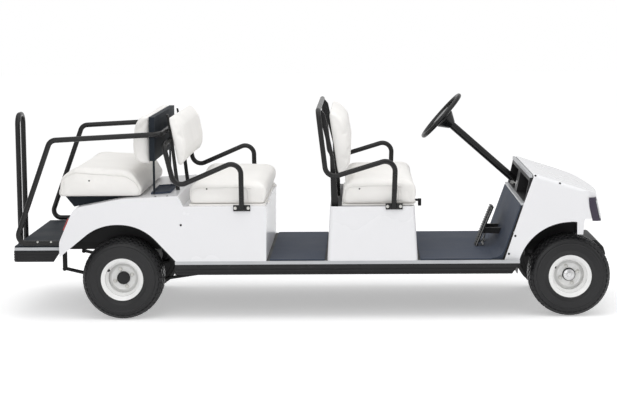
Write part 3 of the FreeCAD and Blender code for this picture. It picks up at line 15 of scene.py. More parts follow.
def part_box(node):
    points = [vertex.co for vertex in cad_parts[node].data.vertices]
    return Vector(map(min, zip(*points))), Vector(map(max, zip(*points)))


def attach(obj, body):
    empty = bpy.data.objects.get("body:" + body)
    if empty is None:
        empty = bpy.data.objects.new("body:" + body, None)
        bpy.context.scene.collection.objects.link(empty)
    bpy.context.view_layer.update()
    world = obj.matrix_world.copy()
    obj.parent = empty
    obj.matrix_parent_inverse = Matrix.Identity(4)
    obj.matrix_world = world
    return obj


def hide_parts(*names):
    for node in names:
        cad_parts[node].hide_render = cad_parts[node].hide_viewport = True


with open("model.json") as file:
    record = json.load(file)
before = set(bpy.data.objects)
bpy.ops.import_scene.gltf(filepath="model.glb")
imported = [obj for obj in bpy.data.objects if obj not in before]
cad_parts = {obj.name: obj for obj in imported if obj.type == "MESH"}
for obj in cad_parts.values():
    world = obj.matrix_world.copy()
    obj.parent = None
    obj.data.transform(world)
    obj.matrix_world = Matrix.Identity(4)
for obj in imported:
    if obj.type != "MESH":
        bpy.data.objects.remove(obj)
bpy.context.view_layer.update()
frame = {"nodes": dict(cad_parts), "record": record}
nodes = frame["nodes"]

AXLE = Vector((0, 1, 0))    # wheels turn about this way, and turned parts are drawn along it


def middle(node):
    """Centre of a CAD node's box."""
    low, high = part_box(node)
    return (low + high) / 2


# %% [markdown]
# ## Helpers for modelling by operators
# Everything below is made the way it would be by hand: add a primitive, go into edit mode, select faces
# by where they are or which way they face, and push them into shape. These helpers hold the parts of
# that routine that never change, so that each piece's own cell shows only its shape.

# %% Helpers: selecting and editing
def only(*things):
    """Select these objects alone, and make the first one active."""
    if bpy.context.object and bpy.context.object.mode != "OBJECT":
        bpy.ops.object.mode_set(mode="OBJECT")
    bpy.ops.object.select_all(action="DESELECT")
    for thing in things:
        thing.select_set(True)
    bpy.context.view_layer.objects.active = things[0]
    return things[0]


def select(piece, kind, test):
    """In edit mode, select the vertices or faces that a test of place (and normal) picks."""
    bpy.ops.object.mode_set(mode="EDIT")
    bpy.ops.mesh.select_mode(type="VERT" if kind == "verts" else "FACE")
    bpy.ops.mesh.select_all(action="DESELECT")
    bpy.ops.object.mode_set(mode="OBJECT")
    if kind == "verts":
        for vert in piece.data.vertices:
            vert.select = test(vert.co)
    else:
        for face in piece.data.polygons:
            face.select = test(face.center, face.normal)
    bpy.ops.object.mode_set(mode="EDIT")


def whole(piece, *steps):
    """Edit the whole of a piece: everything is selected, the steps are taken, edit mode is left."""
    only(piece)
    bpy.ops.object.mode_set(mode="EDIT")
    bpy.ops.mesh.select_all(action="SELECT")
    for operator, settings in steps:
        operator(**settings)
    bpy.ops.object.mode_set(mode="OBJECT")


def modify(piece, kind, **settings):
    """Add one modifier and apply it."""
    only(piece)
    step = piece.modifiers.new(kind.title(), kind)
    for name, setting in settings.items():
        setattr(step, name, setting)
    bpy.ops.object.modifier_apply(modifier=step.name)


def tidy(piece, angle=35, join_within=0.00002):
    """Merge doubles, turn the faces outward, put the object at the origin and smooth its gentle edges."""
    only(piece)
    bpy.ops.object.transform_apply(location=True, rotation=True, scale=True)
    whole(piece, (bpy.ops.mesh.remove_doubles, {"threshold": join_within}),
          (bpy.ops.mesh.normals_make_consistent, {"inside": False}))
    bpy.ops.object.shade_smooth_by_angle(angle=math.radians(angle))
    return piece


def merge(name, pieces):
    """Several pieces as one mesh."""
    only(*pieces)
    if len(pieces) > 1:
        bpy.ops.object.join()
    joined = bpy.context.object
    joined.name = name
    joined.data.name = name
    return joined


def copy_of(piece, turn):
    """A copy with its own mesh, moved and turned by a matrix."""
    twin = piece.copy()
    twin.data = piece.data.copy()
    bpy.context.scene.collection.objects.link(twin)
    twin.data.transform(turn)
    return twin


def mirrored(piece, name):
    """The piece's mirror image on the other side of the cart, with its faces turned right again."""
    twin = copy_of(piece, Matrix.Scale(-1, 4, (0, 1, 0)))
    twin.name = name
    whole(twin, (bpy.ops.mesh.flip_normals, {}))
    return twin


# %% Helpers: the shapes that come up again and again
def block(name, low, high, bevel=0.0, segments=2):
    """A cube stretched between two corners, with its edges eased by a bevel."""
    low, high = Vector(low), Vector(high)
    bpy.ops.mesh.primitive_cube_add(size=1, location=(low + high) / 2)
    piece = bpy.context.object
    piece.name = name
    piece.scale = high - low
    bpy.ops.object.transform_apply(location=True, rotation=True, scale=True)
    if bevel:
        whole(piece, (bpy.ops.mesh.bevel, {"offset": bevel, "segments": segments, "affect": "EDGES"}))
    return piece


def drawn(name, points):
    """A run of edges through the points: one vertex of a plane, extruded from each point to the next."""
    bpy.ops.mesh.primitive_plane_add(size=0.001)
    piece = bpy.context.object
    piece.name = name
    select(piece, "verts", lambda co: not (co.x > 0 and co.y > 0))
    bpy.ops.mesh.delete(type="VERT")
    bpy.ops.mesh.select_all(action="SELECT")
    here = Vector((0.0005, 0.0005, 0))
    bpy.ops.transform.translate(value=Vector(points[0]) - here)
    for a, b in zip(points, points[1:]):
        bpy.ops.mesh.extrude_region_move(TRANSFORM_OT_translate={"value": Vector(b) - Vector(a)})
    return piece


def lathed(name, profile, centre, steps=48, closed=False):
    """A profile of (along Y, radius) spun about the Y line through centre."""
    centre = Vector(centre)
    points = [centre + Vector((0, along, radius)) for along, radius in profile]
    if closed:
        points.append(points[0])
    piece = drawn(name, points)
    bpy.ops.mesh.select_all(action="SELECT")
    bpy.ops.mesh.spin(steps=steps, angle=math.tau, center=centre, axis=AXLE, dupli=False)
    bpy.ops.object.mode_set(mode="OBJECT")
    return tidy(piece)


def swept(name, points, radius, resolution, order=3):
    """A round tube along a smooth curve through or near the points."""
    bpy.ops.curve.primitive_nurbs_path_add(location=(0, 0, 0))
    curve = bpy.context.object
    curve.name = name
    curve.data.splines.clear()
    spline = curve.data.splines.new("NURBS")
    spline.points.add(len(points) - 1)
    for spot, point in zip(spline.points, points):
        spot.co = (*point, 1)
    spline.use_endpoint_u = True
    spline.order_u = order
    curve.data.bevel_depth = radius
    curve.data.bevel_resolution = resolution
    curve.data.use_fill_caps = True
    only(curve)
    bpy.ops.object.convert(target="MESH")
    piece = bpy.context.object
    piece.name = name
    return tidy(piece, 60, 0.000001)


def dress(piece, body, material):
    """Give a piece its finish and the body it rides on."""
    piece.data.materials.clear()
    piece.data.materials.append(material)
    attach(piece, body)
    print("%-26s %6d faces on %s" % (piece.name, len(piece.data.polygons), body))
    return piece


# %% [markdown]
# ## Shared surface effects
# Most finishes here need one of three effects: a leathery or moulded grain, a slow unevenness that
# keeps large panels from looking computed, and fine scuffs where hands and feet rub. Each is a node
# group with named inputs, so a material states only how coarse and how strong it wants the effect.

# %% Node groups
def new_group(name, inputs, outputs):
    """An empty node group with its number sockets, and its two end nodes."""
    group = bpy.data.node_groups.new(name, "ShaderNodeTree")
    for label, default in inputs:
        socket = group.interface.new_socket(label, in_out="INPUT", socket_type="NodeSocketFloat")
        socket.default_value = default
    for label in outputs:
        group.interface.new_socket(label, in_out="OUTPUT", socket_type="NodeSocketFloat")
    start = group.nodes.new("NodeGroupInput")
    end = group.nodes.new("NodeGroupOutput")
    return group, start, end


def link(tree, start, end):
    """A wire from one socket to another."""
    tree.links.new(start, end)


def math_node(tree, operation, a, b=None, clamp=False):
    """A Math node whose inputs are sockets or plain numbers."""
    node = tree.nodes.new("ShaderNodeMath")
    node.operation = operation
    node.use_clamp = clamp
    for i, feed in enumerate((a, b)):
        if feed is None:
            continue
        if isinstance(feed, (int, float)):
            node.inputs[i].default_value = feed
        else:
            link(tree, feed, node.inputs[i])
    return node.outputs[0]


def grain_group():
    """Pebbled grain: cells for the pebbles and noise for their uneven height."""
    group, start, end = new_group("Grain", [("Scale", 400.0), ("Unevenness", 0.5)], ["Height"])
    place = group.nodes.new("ShaderNodeTexCoord").outputs["Object"]
    cells = group.nodes.new("ShaderNodeTexVoronoi")
    cells.feature = "SMOOTH_F1"
    noise = group.nodes.new("ShaderNodeTexNoise")
    for texture in (cells, noise):
        link(group, place, texture.inputs["Vector"])
        link(group, start.outputs["Scale"], texture.inputs["Scale"])
    uneven = math_node(group, "MULTIPLY", noise.outputs[0], start.outputs["Unevenness"])
    link(group, math_node(group, "ADD", cells.outputs["Distance"], uneven), end.inputs["Height"])
    return group


def cloud_group():
    """Slow unevenness from 0 to 1, for colour and gloss that drift across a panel."""
    group, start, end = new_group("Clouds", [("Scale", 3.0), ("Contrast", 1.0)], ["Value"])
    place = group.nodes.new("ShaderNodeTexCoord").outputs["Object"]
    noise = group.nodes.new("ShaderNodeTexNoise")
    noise.inputs["Detail"].default_value = 5
    link(group, place, noise.inputs["Vector"])
    link(group, start.outputs["Scale"], noise.inputs["Scale"])
    spread = math_node(group, "MULTIPLY", math_node(group, "SUBTRACT", noise.outputs[0], 0.5),
                       start.outputs["Contrast"])
    link(group, math_node(group, "ADD", spread, 0.5, clamp=True), end.inputs["Value"])
    return group


def scuff_group():
    """Short scratches in drifting patches, from 0, untouched, to 1, scuffed."""
    group, start, end = new_group("Scuffs", [("Scale", 30.0), ("Amount", 0.3)], ["Mask"])
    place = group.nodes.new("ShaderNodeTexCoord").outputs["Object"]
    stretch = group.nodes.new("ShaderNodeMapping")
    stretch.inputs["Rotation"].default_value = (0.4, 0.9, 0.3)
    stretch.inputs["Scale"].default_value = (1, 9, 3)
    link(group, place, stretch.inputs["Vector"])
    fine = group.nodes.new("ShaderNodeTexNoise")
    link(group, stretch.outputs[0], fine.inputs["Vector"])
    link(group, start.outputs["Scale"], fine.inputs["Scale"])
    patch = group.nodes.new("ShaderNodeTexNoise")
    link(group, place, patch.inputs["Vector"])
    patch.inputs["Scale"].default_value = 4
    lines = math_node(group, "MULTIPLY", math_node(group, "SUBTRACT", fine.outputs[0], 0.6), 8, clamp=True)
    where = math_node(group, "MULTIPLY", math_node(group, "SUBTRACT", patch.outputs[0], 0.45), 5, clamp=True)
    both = math_node(group, "MULTIPLY", lines, where)
    link(group, math_node(group, "MULTIPLY", both, start.outputs["Amount"]), end.inputs["Mask"])
    return group


GRAIN, CLOUDS, SCUFFS = grain_group(), cloud_group(), scuff_group()
print("node groups", [g.name for g in (GRAIN, CLOUDS, SCUFFS)])


# %% Materials from those groups
def use(tree, group, **inputs):
    """Place a shared group in a material with its own values."""
    node = tree.nodes.new("ShaderNodeGroup")
    node.node_tree = group
    for label, setting in inputs.items():
        node.inputs[label].default_value = setting
    return node.outputs[0]


def blend_colour(tree, mask, low, high):
    """Two colours mixed by a mask."""
    mix = tree.nodes.new("ShaderNodeMix")
    mix.data_type = "RGBA"
    link(tree, mask, mix.inputs["Factor"])
    mix.inputs["A"].default_value = (*low, 1)
    mix.inputs["B"].default_value = (*high, 1)
    return mix.outputs["Result"]


def ramp(tree, value, low, high):
    """A value from 0 to 1 spread between two others."""
    node = tree.nodes.new("ShaderNodeMapRange")
    link(tree, value, node.inputs["Value"])
    node.inputs["To Min"].default_value = low
    node.inputs["To Max"].default_value = high
    return node.outputs[0]


def bumped(tree, shader, height, strength, distance):
    """Let a height bend the shader's normal."""
    bump = tree.nodes.new("ShaderNodeBump")
    bump.inputs["Strength"].default_value = strength
    bump.inputs["Distance"].default_value = distance
    link(tree, height, bump.inputs["Height"])
    link(tree, bump.outputs[0], shader.inputs["Normal"])


CLOUD_CONTRAST, SCUFF_SCALE, SCUFF_DULLS, GRAIN_UNEVEN = 2.0, 40.0, 0.25, 0.5


def finish_of(name, low, high, rough, cloud, grain, bump, scuff=0.0, scuff_colour=None, **shader_inputs):
    """A Principled material: a drifting colour, a drifting roughness, a grain and scuffs."""
    material = bpy.data.materials.new(name)
    material.use_nodes = True
    tree = material.node_tree
    shader = tree.nodes["Principled BSDF"]
    drift = use(tree, CLOUDS, Scale=cloud, Contrast=CLOUD_CONTRAST)
    colour = blend_colour(tree, drift, low, high)
    gloss = ramp(tree, drift, *rough)
    if scuff:
        mask = use(tree, SCUFFS, Scale=SCUFF_SCALE, Amount=scuff)
        if scuff_colour:
            mix = tree.nodes.new("ShaderNodeMix")
            mix.data_type = "RGBA"
            link(tree, mask, mix.inputs["Factor"])
            link(tree, colour, mix.inputs["A"])
            mix.inputs["B"].default_value = (*scuff_colour, 1)
            colour = mix.outputs["Result"]
        gloss = math_node(tree, "ADD", gloss, math_node(tree, "MULTIPLY", mask, SCUFF_DULLS), clamp=True)
    link(tree, colour, shader.inputs["Base Color"])
    link(tree, gloss, shader.inputs["Roughness"])
    bumped(tree, shader, use(tree, GRAIN, Scale=grain, Unevenness=GRAIN_UNEVEN), *bump)
    for label, setting in shader_inputs.items():
        shader.inputs[label.replace("_", " ")].default_value = setting
    return material


WHITE_BODY = finish_of("white_gelcoat", (0.835, 0.835, 0.853), (0.855, 0.855, 0.871), (0.25, 0.29), 1.2, 60,
                       (0.01, 0.0004), Coat_Weight=0.15, Coat_Roughness=0.25)
VINYL = finish_of("seat_vinyl", (0.85, 0.835, 0.81), (0.91, 0.895, 0.87), (0.42, 0.54), 5.0, 900,
                  (0.3, 0.0003), Specular_IOR_Level=0.4)
WELT = finish_of("welt_vinyl", (0.76, 0.745, 0.72), (0.84, 0.825, 0.80), (0.42, 0.52), 5.0, 900, (0.2, 0.0002))
TUBE_BLACK = finish_of("gloss_black_tube", (0.006, 0.006, 0.0065), (0.012, 0.012, 0.012), (0.2, 0.3), 6.0, 250,
                       (0.04, 0.0002), 0.3, Specular_IOR_Level=0.32)
FRAME_BLACK = finish_of("frame_powder_coat", (0.008, 0.008, 0.008), (0.016, 0.016, 0.016), (0.42, 0.58), 4.0,
                        700, (0.2, 0.0002), 0.4, (0.04, 0.04, 0.04), Specular_IOR_Level=0.25)
BLACK_PLASTIC = finish_of("moulded_black", (0.009, 0.009, 0.010), (0.018, 0.018, 0.019), (0.4, 0.52), 6.0, 500,
                          (0.35, 0.0003), 0.5, (0.05, 0.05, 0.05), Specular_IOR_Level=0.28)
DARK_BOARD = finish_of("dark_board", (0.014, 0.018, 0.024), (0.022, 0.028, 0.036), (0.5, 0.65), 5.0, 420,
                       (0.35, 0.0003), 0.3, (0.06, 0.065, 0.07), Specular_IOR_Level=0.12)
MAT_RUBBER = finish_of("mat_rubber", (0.040, 0.050, 0.073), (0.056, 0.069, 0.098), (0.55, 0.7), 5.0, 260,
                       (0.5, 0.0006), 0.4, (0.09, 0.10, 0.12), Specular_IOR_Level=0.2)
TRIM_GREY = finish_of("trim_light_grey", (0.42, 0.43, 0.45), (0.52, 0.53, 0.54), (0.3, 0.42), 5.0, 600,
                      (0.1, 0.0001), 0.4, Metallic=0.4)
BEZEL = finish_of("lamp_bezel", (0.035, 0.028, 0.05), (0.055, 0.045, 0.07), (0.3, 0.4), 6.0, 500,
                  (0.25, 0.0002), Specular_IOR_Level=0.35)
TYRE = finish_of("tyre_rubber", (0.007, 0.007, 0.008), (0.012, 0.012, 0.013), (0.30, 0.42), 8.0, 500,
                 (0.15, 0.0003), 0.3, (0.03, 0.03, 0.03), Specular_IOR_Level=0.38)
RIM_WHITE = finish_of("rim_white_enamel", (0.85, 0.85, 0.84), (0.90, 0.90, 0.89), (0.2, 0.3), 8.0, 90,
                      (0.03, 0.0003), 0.3, Coat_Weight=0.4, Coat_Roughness=0.12)
CAST = finish_of("cast_and_painted", (0.010, 0.010, 0.011), (0.022, 0.022, 0.022), (0.5, 0.65), 9.0, 450,
                 (0.4, 0.0004), 0.5, (0.05, 0.05, 0.05), Specular_IOR_Level=0.25)
STEEL = finish_of("zinc_plate", (0.52, 0.52, 0.50), (0.62, 0.61, 0.58), (0.3, 0.45), 12.0, 800,
                  (0.1, 0.0001), 0.3, Metallic=1.0)
SILVER = finish_of("silver_cap", (0.60, 0.60, 0.61), (0.70, 0.70, 0.70), (0.22, 0.34), 12.0, 800,
                   (0.05, 0.0001), 0.2, Metallic=0.9)
BATTERY = finish_of("battery_case", (0.02, 0.02, 0.022), (0.035, 0.035, 0.036), (0.45, 0.55), 5.0, 500,
                    (0.3, 0.0003))
TAIL_RED = finish_of("tail_lens", (0.30, 0.008, 0.010), (0.38, 0.012, 0.014), (0.12, 0.18), 5.0, 200,
                     (0.1, 0.0004), Coat_Weight=0.5, Coat_Roughness=0.05)
LENS = finish_of("lamp_lens", (0.62, 0.64, 0.66), (0.72, 0.73, 0.74), (0.06, 0.10), 5.0, 160, (0.3, 0.0005),
                 Coat_Weight=0.8, Coat_Roughness=0.03, Transmission_Weight=0.25)

# %% [markdown]
# ## Finishes for the frame's own pieces
# The rigid pieces are already the right shape, so they only change their finish. The two lids are boards
# with the seat's vinyl drawn round their edges, so they wear the cover's finish.

# %% Finish the CAD nodes
FINISHES = {
    "body_white": WHITE_BODY, "frame_black": FRAME_BLACK, "tube_black": TUBE_BLACK, "seat_vinyl": VINYL,
    "seat_board": DARK_BOARD, "mat_blue": MAT_RUBBER, "black_plastic": BLACK_PLASTIC, "trim_grey": TRIM_GREY,
    "lamp_bezel": BEZEL, "tail_lamp": TAIL_RED, "tyre": TYRE, "rim_white": RIM_WHITE, "axle_steel": CAST,
    "rod_steel": STEEL, "battery_black": BATTERY,
}
COVERED = {"front_seat_pan": VINYL, "middle_seat_pan": VINYL}
for part in frame["record"]["subparts"]:
    node = nodes[part["node"]]
    node.data.materials.clear()
    node.data.materials.append(COVERED.get(part["node"], FINISHES[part["material_slot"]]))
print(len(nodes), "nodes finished")

# %% [markdown]
# ## Upholstered cushions
# A golf cart's seat is a moulded foam block under a stretched vinyl cover. It starts as the frame's
# side outline, drawn as edges and extruded across the cart. The edges are rounded, a voxel remesh gives
# it an even skin, and cloth under pressure swells that skin as foam does, while the face that lies on
# the board stays flat. Seams come afterwards, because the remesh would erase them.

# %% Helpers: padded forms
BODY_OF = {node: body for body, names in frame["record"]["behaviour"]["bodies"].items() for node in names}


def in_box(node, along, high, y=0.0):
    """A point at a fraction of the way along X and up Z in a node's box."""
    low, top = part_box(node)
    return Vector((low.x + along * (top.x - low.x), y, low.z + high * (top.z - low.z)))


def drawn_in(points, amount):
    """The outline drawn in towards its middle, while the first two points stay on the line they make."""
    heart = sum(points, Vector()) / len(points)
    moved = [point + (heart - point).normalized() * amount for point in points]
    line = (points[1] - points[0]).normalized()
    for i in (0, 1):
        moved[i] = points[0] + line * (moved[i] - points[0]).dot(line)
    return moved


def slab(name, points, half):
    """A closed side outline filled as a face and extruded from one side of the cart to the other."""
    piece = drawn(name, [Vector((p.x, -half, p.z)) for p in points])
    bpy.ops.mesh.select_all(action="SELECT")
    bpy.ops.mesh.edge_face_add()
    bpy.ops.mesh.select_all(action="SELECT")
    bpy.ops.mesh.extrude_region_move(TRANSFORM_OT_translate={"value": (0, 2 * half, 0)})
    bpy.ops.object.mode_set(mode="OBJECT")
    return tidy(piece)


PRESSURE = 4.0
SETTLE_MOMENTS = 20


def inflate(piece, held, cap):
    """Swell the skin like a filled cover; the held points stay, and no point moves further than cap."""
    start = [vert.co.copy() for vert in piece.data.vertices]
    group = piece.vertex_groups.new(name="bearing")
    group.add([vert.index for vert in piece.data.vertices if held(vert.co)], 1.0, "REPLACE")
    only(piece)
    fill = piece.modifiers.new("Fill", "CLOTH")
    fill.settings.vertex_group_mass = group.name
    fill.settings.use_pressure = True
    fill.settings.uniform_pressure_force = PRESSURE
    fill.settings.effector_weights.gravity = 0
    for moment in range(1, SETTLE_MOMENTS + 1):
        bpy.context.scene.frame_set(moment)
    bpy.ops.object.modifier_apply(modifier=fill.name)
    bpy.context.scene.frame_set(1)
    for vert, at in zip(piece.data.vertices, start):
        move = vert.co - at
        if move.length > cap:
            vert.co = at + move * (cap / move.length)
    piece.vertex_groups.clear()


def rounded(points, radius, steps=5):
    """An open line of straight runs with its inner corners eased into curves."""
    points = [Vector(p) for p in points]
    spots = [points[0]]
    for before, corner, after in zip(points, points[1:], points[2:]):
        start = corner + (before - corner).normalized() * radius
        end = corner + (after - corner).normalized() * radius
        for i in range(steps + 1):
            t = i / steps
            spots.append(start.lerp(corner, t).lerp(corner.lerp(end, t), t))
    return spots + [points[-1]]


def walk(points, step=0.008):
    """Points at even steps along a line of straight runs."""
    spots = [points[0]]
    for a, b in zip(points, points[1:]):
        count = max(1, round((b - a).length / step))
        spots += [a.lerp(b, i / count) for i in range(1, count + 1)]
    return spots


def on_surface(piece, points, proud=0.0):
    """Each point pulled to the nearest place on the piece, then out by this much."""
    spots = []
    for point in points:
        _, place, normal, _ = piece.closest_point_on_mesh(point)
        spots.append(place + normal * proud)
    return spots


def sink(piece, line, width, depth):
    """Pull the skin in along a seam, most at the seam and fading out at this width."""
    tree = KDTree(len(line))
    for i, point in enumerate(line):
        tree.insert(point, i)
    tree.balance()
    for vert in piece.data.vertices:
        far = tree.find(vert.co)[2]
        if far < width:
            vert.co -= vert.normal * depth * (0.5 + 0.5 * math.cos(math.pi * far / width))


SWELL_ROOM = 0.45       # how much of the swelling the plain form is drawn in by
VOXEL = 0.0125
BEARING_DEEP = 0.008    # points this near to the board are held by it
SEAM_CORNER, SEAM_WIDE, SEAM_DEEP = 0.035, 0.02, 0.0035
WELT_PROUD, WELT_RADIUS = 0.001, 0.0038


def pad(node, outline, cap, seams, ease=0.028):
    """A whole cushion; the outline's first two points are the face that it rests on."""
    points = drawn_in([in_box(node, along, high) for along, high in outline], cap * SWELL_ROOM)
    line = (points[1] - points[0]).normalized()
    up = Vector((-line.z, 0, line.x))
    foam = slab(node + "_foam", points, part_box(node)[1].y - cap * SWELL_ROOM)
    modify(foam, "BEVEL", width=ease, segments=3, limit_method="ANGLE", angle_limit=math.radians(25))
    modify(foam, "REMESH", mode="VOXEL", voxel_size=VOXEL)
    modify(foam, "SMOOTH", factor=0.5, iterations=6)
    inflate(foam, lambda co: abs((co - points[0]).dot(up)) < BEARING_DEEP, cap)
    modify(foam, "SUBSURF", levels=1, render_levels=1)
    only(foam)
    bpy.ops.object.shade_smooth()
    routes = [walk(rounded([in_box(node, *spot) for spot in seam], SEAM_CORNER)) for seam in seams]
    lines = [on_surface(foam, route) for route in routes]
    for line in lines:
        sink(foam, line, SEAM_WIDE, SEAM_DEEP)
    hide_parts(node)
    dress(foam, BODY_OF[node], VINYL)
    for i, line in enumerate(lines):
        welt = swept("%s_welt_%d" % (node, i), on_surface(foam, line, WELT_PROUD), WELT_RADIUS, 3)
        dress(welt, BODY_OF[node], WELT)
    return foam


def both_sides(node, spots):
    """The same seam on the right and the left face of a cushion."""
    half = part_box(node)[1].y
    return [[(along, high, side * half) for along, high in spots] for side in (-1, 1)]


# %% Seat cushions
SIDE_SEAM = [(0.055, 0.03), (0.04, 0.55), (0.09, 0.80), (0.40, 0.86), (0.70, 0.84), (0.735, 0.80), (0.74, 0.03)]
pad("front_cushion", [(0, 0), (0.98, 0), (1, 0.55), (0.96, 0.97), (0.62, 1), (0.08, 0.93), (0, 0.75)],
    0.013, both_sides("front_cushion", SIDE_SEAM))
pad("middle_cushion", [(0, 0), (0.97, 0), (1, 0.5), (0.97, 0.92), (0.6, 1), (0.1, 1), (0, 0.8)],
    0.013, both_sides("middle_cushion", SIDE_SEAM))
REAR_SEAM = [(0.93, 0.05), (0.95, 0.42), (0.78, 0.80), (0.50, 0.90), (0.2, 0.96), (0.04, 0.80), (0.05, 0.05)]
pad("rear_cushion", [(0, 0), (0.96, 0), (1, 0.22), (0.88, 0.80), (0.72, 0.90), (0.2, 1), (0.03, 0.72)],
    0.013, both_sides("rear_cushion", REAR_SEAM), ease=0.034)

# %% Backrests
pad("front_backrest", [(0.54, 0), (0.14, 1), (0.42, 1), (0.78, 0.86), (1, 0.45), (0.94, 0.14), (0.82, 0.02)],
    0.012, [])
pad("middle_backrest", [(0.68, 0), (0.2, 1), (0.45, 1), (0.75, 0.82), (1, 0.35), (0.97, 0.12), (0.88, 0)],
    0.012, [])
pad("rear_backrest", [(1, 1), (1, 0), (0.3, 0), (0.06, 0.1), (0, 0.38), (0.22, 0.86), (0.55, 1)],
    0.012, [])

# %% [markdown]
# ## Tyres
# The frame's tyre is a plain ring. Here its carcass is a profile spun about the axle, with the ribs and
# the rim guard that a moulded sidewall has. The turf tread is one pitch of blocks, rounded by bevels,
# then copied round the carcass.

# %% Helpers: tyres
def turned_about(centre, angle):
    """Rotation about the Y line through a point."""
    centre = Vector(centre)
    return Matrix.Translation(centre) @ Matrix.Rotation(angle, 4, "Y") @ Matrix.Translation(-centre)


def around(piece, centre, count):
    """Copies of a piece at even angles about the wheel's axle, joined into one mesh."""
    copies = [copy_of(piece, turned_about(centre, math.tau * i / count)) for i in range(count)]
    name = piece.name
    bpy.data.objects.remove(piece)
    return merge(name, copies)


TREAD_DEEP = 0.0055
TREAD_ROOT = 0.009      # how far the blocks reach down into the carcass
PITCHES = 44
TREAD_ROWS = (
    # place across, width, shift in pitches, drop at the shoulder
    (0.0, 0.022, 0.5, 0.0), (0.031, 0.026, 0.0, 0.0), (-0.031, 0.026, 0.0, 0.0),
    (0.063, 0.026, 0.5, 0.004), (-0.063, 0.026, 0.5, 0.004),
)
BLOCK_SHARE, BLOCK_EASE = 0.37, 0.0016      # half a block's length in pitches, and its rounding
LUG_SHARE, LUG_HALF = 0.34, Vector((0, 0.0105, 0.004))
LUG_TURN, LUG_ACROSS, LUG_DOWN = math.radians(42), 0.0905, 0.0165
RIM_OUTER = 0.119


def tyre_profile(wide, outer, bead):
    """(along, radius) of one side from the tread's middle to the bead."""
    half = wide / 2
    crown = outer - TREAD_DEEP
    return [
        (0.0, crown), (half * 0.42, crown - 0.0004), (half * 0.66, crown - 0.002),
        (half * 0.80, crown - 0.008), (half * 0.90, crown - 0.019), (half * 0.955, crown - 0.033),
        (half * 0.955, crown - 0.035), (half * 0.985, crown - 0.037), (half * 0.985, crown - 0.041),
        (half * 0.97, crown - 0.044), (half * 0.985, bead + 0.050), (half * 0.98, bead + 0.032),
        (half * 0.985, bead + 0.030), (half * 0.985, bead + 0.025), (half * 0.965, bead + 0.022),
        (half * 0.95, bead + 0.012), (half * 0.945, bead + 0.004), (half * 0.91, bead - 0.0005),
        (half * 0.86, bead + 0.001),
    ]


def make_tyre(node):
    """Carcass and tread of one wheel, in place of the frame's plain ring."""
    low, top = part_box(node)
    centre = (low + top) / 2
    wide, outer = top.y - low.y, (top.x - low.x) / 2
    half = tyre_profile(wide, outer, RIM_OUTER)
    profile = [(-along, radius) for along, radius in reversed(half[1:])] + half
    carcass = lathed(node + "_carcass", profile, centre, steps=96)
    blocks = []
    pitch = math.tau * outer / PITCHES
    for across, width, shift, drop in TREAD_ROWS:
        foot = centre + Vector((-pitch * BLOCK_SHARE, across - width / 2, outer - TREAD_DEEP - TREAD_ROOT))
        head = centre + Vector((pitch * BLOCK_SHARE, across + width / 2, outer - 0.0006 - drop))
        tread_block = block("block", foot, head, BLOCK_EASE)
        tread_block.data.transform(turned_about(centre, math.tau * shift / PITCHES))
        blocks.append(tread_block)
    corner = Vector((pitch * LUG_SHARE, 0, 0)) + LUG_HALF
    for side in (-1, 1):
        lug = block("lug", -corner, corner, BLOCK_EASE)
        shoulder = centre + Vector((0, side * LUG_ACROSS, outer - LUG_DOWN))
        lug.data.transform(Matrix.Translation(shoulder) @ Matrix.Rotation(-LUG_TURN * side, 4, "X"))
        blocks.append(lug)
    tread = around(merge(node + "_tread", blocks), centre, PITCHES)
    tyre = merge(node + "_rubber", [carcass, tread])
    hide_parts(node)
    return dress(tyre, BODY_OF[node], TYRE)


# %% Four tyres
for corner in ("front_left", "front_right", "rear_left", "rear_right"):
    make_tyre("tyre_" + corner)

# %% [markdown]
# ## Small hardware
# Nuts, bolts and screws are modelled once at the origin, standing up along Y. A copy of each is then
# turned to face out of the surface that it sits on, and every group becomes one mesh on its own body.

# %% Helpers: hardware
def facing(out):
    """The turn that brings the Y axis to this direction."""
    return AXLE.rotation_difference(Vector(out)).to_matrix().to_4x4()


def planted(master, name, spots):
    """A copy of the master at each (place, outward direction), joined under one name."""
    copies = [copy_of(master, Matrix.Translation(place) @ facing(out)) for place, out in spots]
    return merge(name, copies)


def stuck_to(piece, points, sunk=0.0005):
    """For each point, the nearest place on the piece and the way that its surface faces there."""
    spots = []
    for point in points:
        _, place, normal, _ = piece.closest_point_on_mesh(Vector(point))
        spots.append((place - normal * sunk, normal))
    return spots


def on_both_sides(points):
    """Each place on the cart's right side, and the same one on its left."""
    return [Vector((x, side * y, z)) for x, y, z in points for side in (-1, 1)]


def hexagon(name, across, tall, start=0.0):
    """A six-sided head: a cylinder with its edges eased and its top drawn in to a chamfer."""
    bpy.ops.mesh.primitive_cylinder_add(vertices=6, radius=across / math.sqrt(3), depth=tall,
                                        location=(0, start + tall / 2, 0), rotation=(-math.pi / 2, 0, 0))
    piece = bpy.context.object
    piece.name = name
    bpy.ops.object.transform_apply(location=True, rotation=True, scale=True)
    select(piece, "faces", lambda centre, normal: normal.y > 0.9)
    bpy.ops.mesh.inset(thickness=across * 0.07)
    bpy.ops.transform.translate(value=(0, across * 0.04, 0))
    bpy.ops.mesh.select_all(action="SELECT")
    bpy.ops.mesh.bevel(offset=across * 0.03, segments=1, affect="EDGES")
    bpy.ops.object.mode_set(mode="OBJECT")
    return tidy(piece)


def washer(name, radius, tall, start=0.0):
    """A round seat with an eased rim."""
    return lathed(name, [(start, 0), (start, radius), (start + tall * 0.7, radius),
                         (start + tall, radius - tall * 0.5), (start + tall, 0)], (0, 0, 0), steps=24)


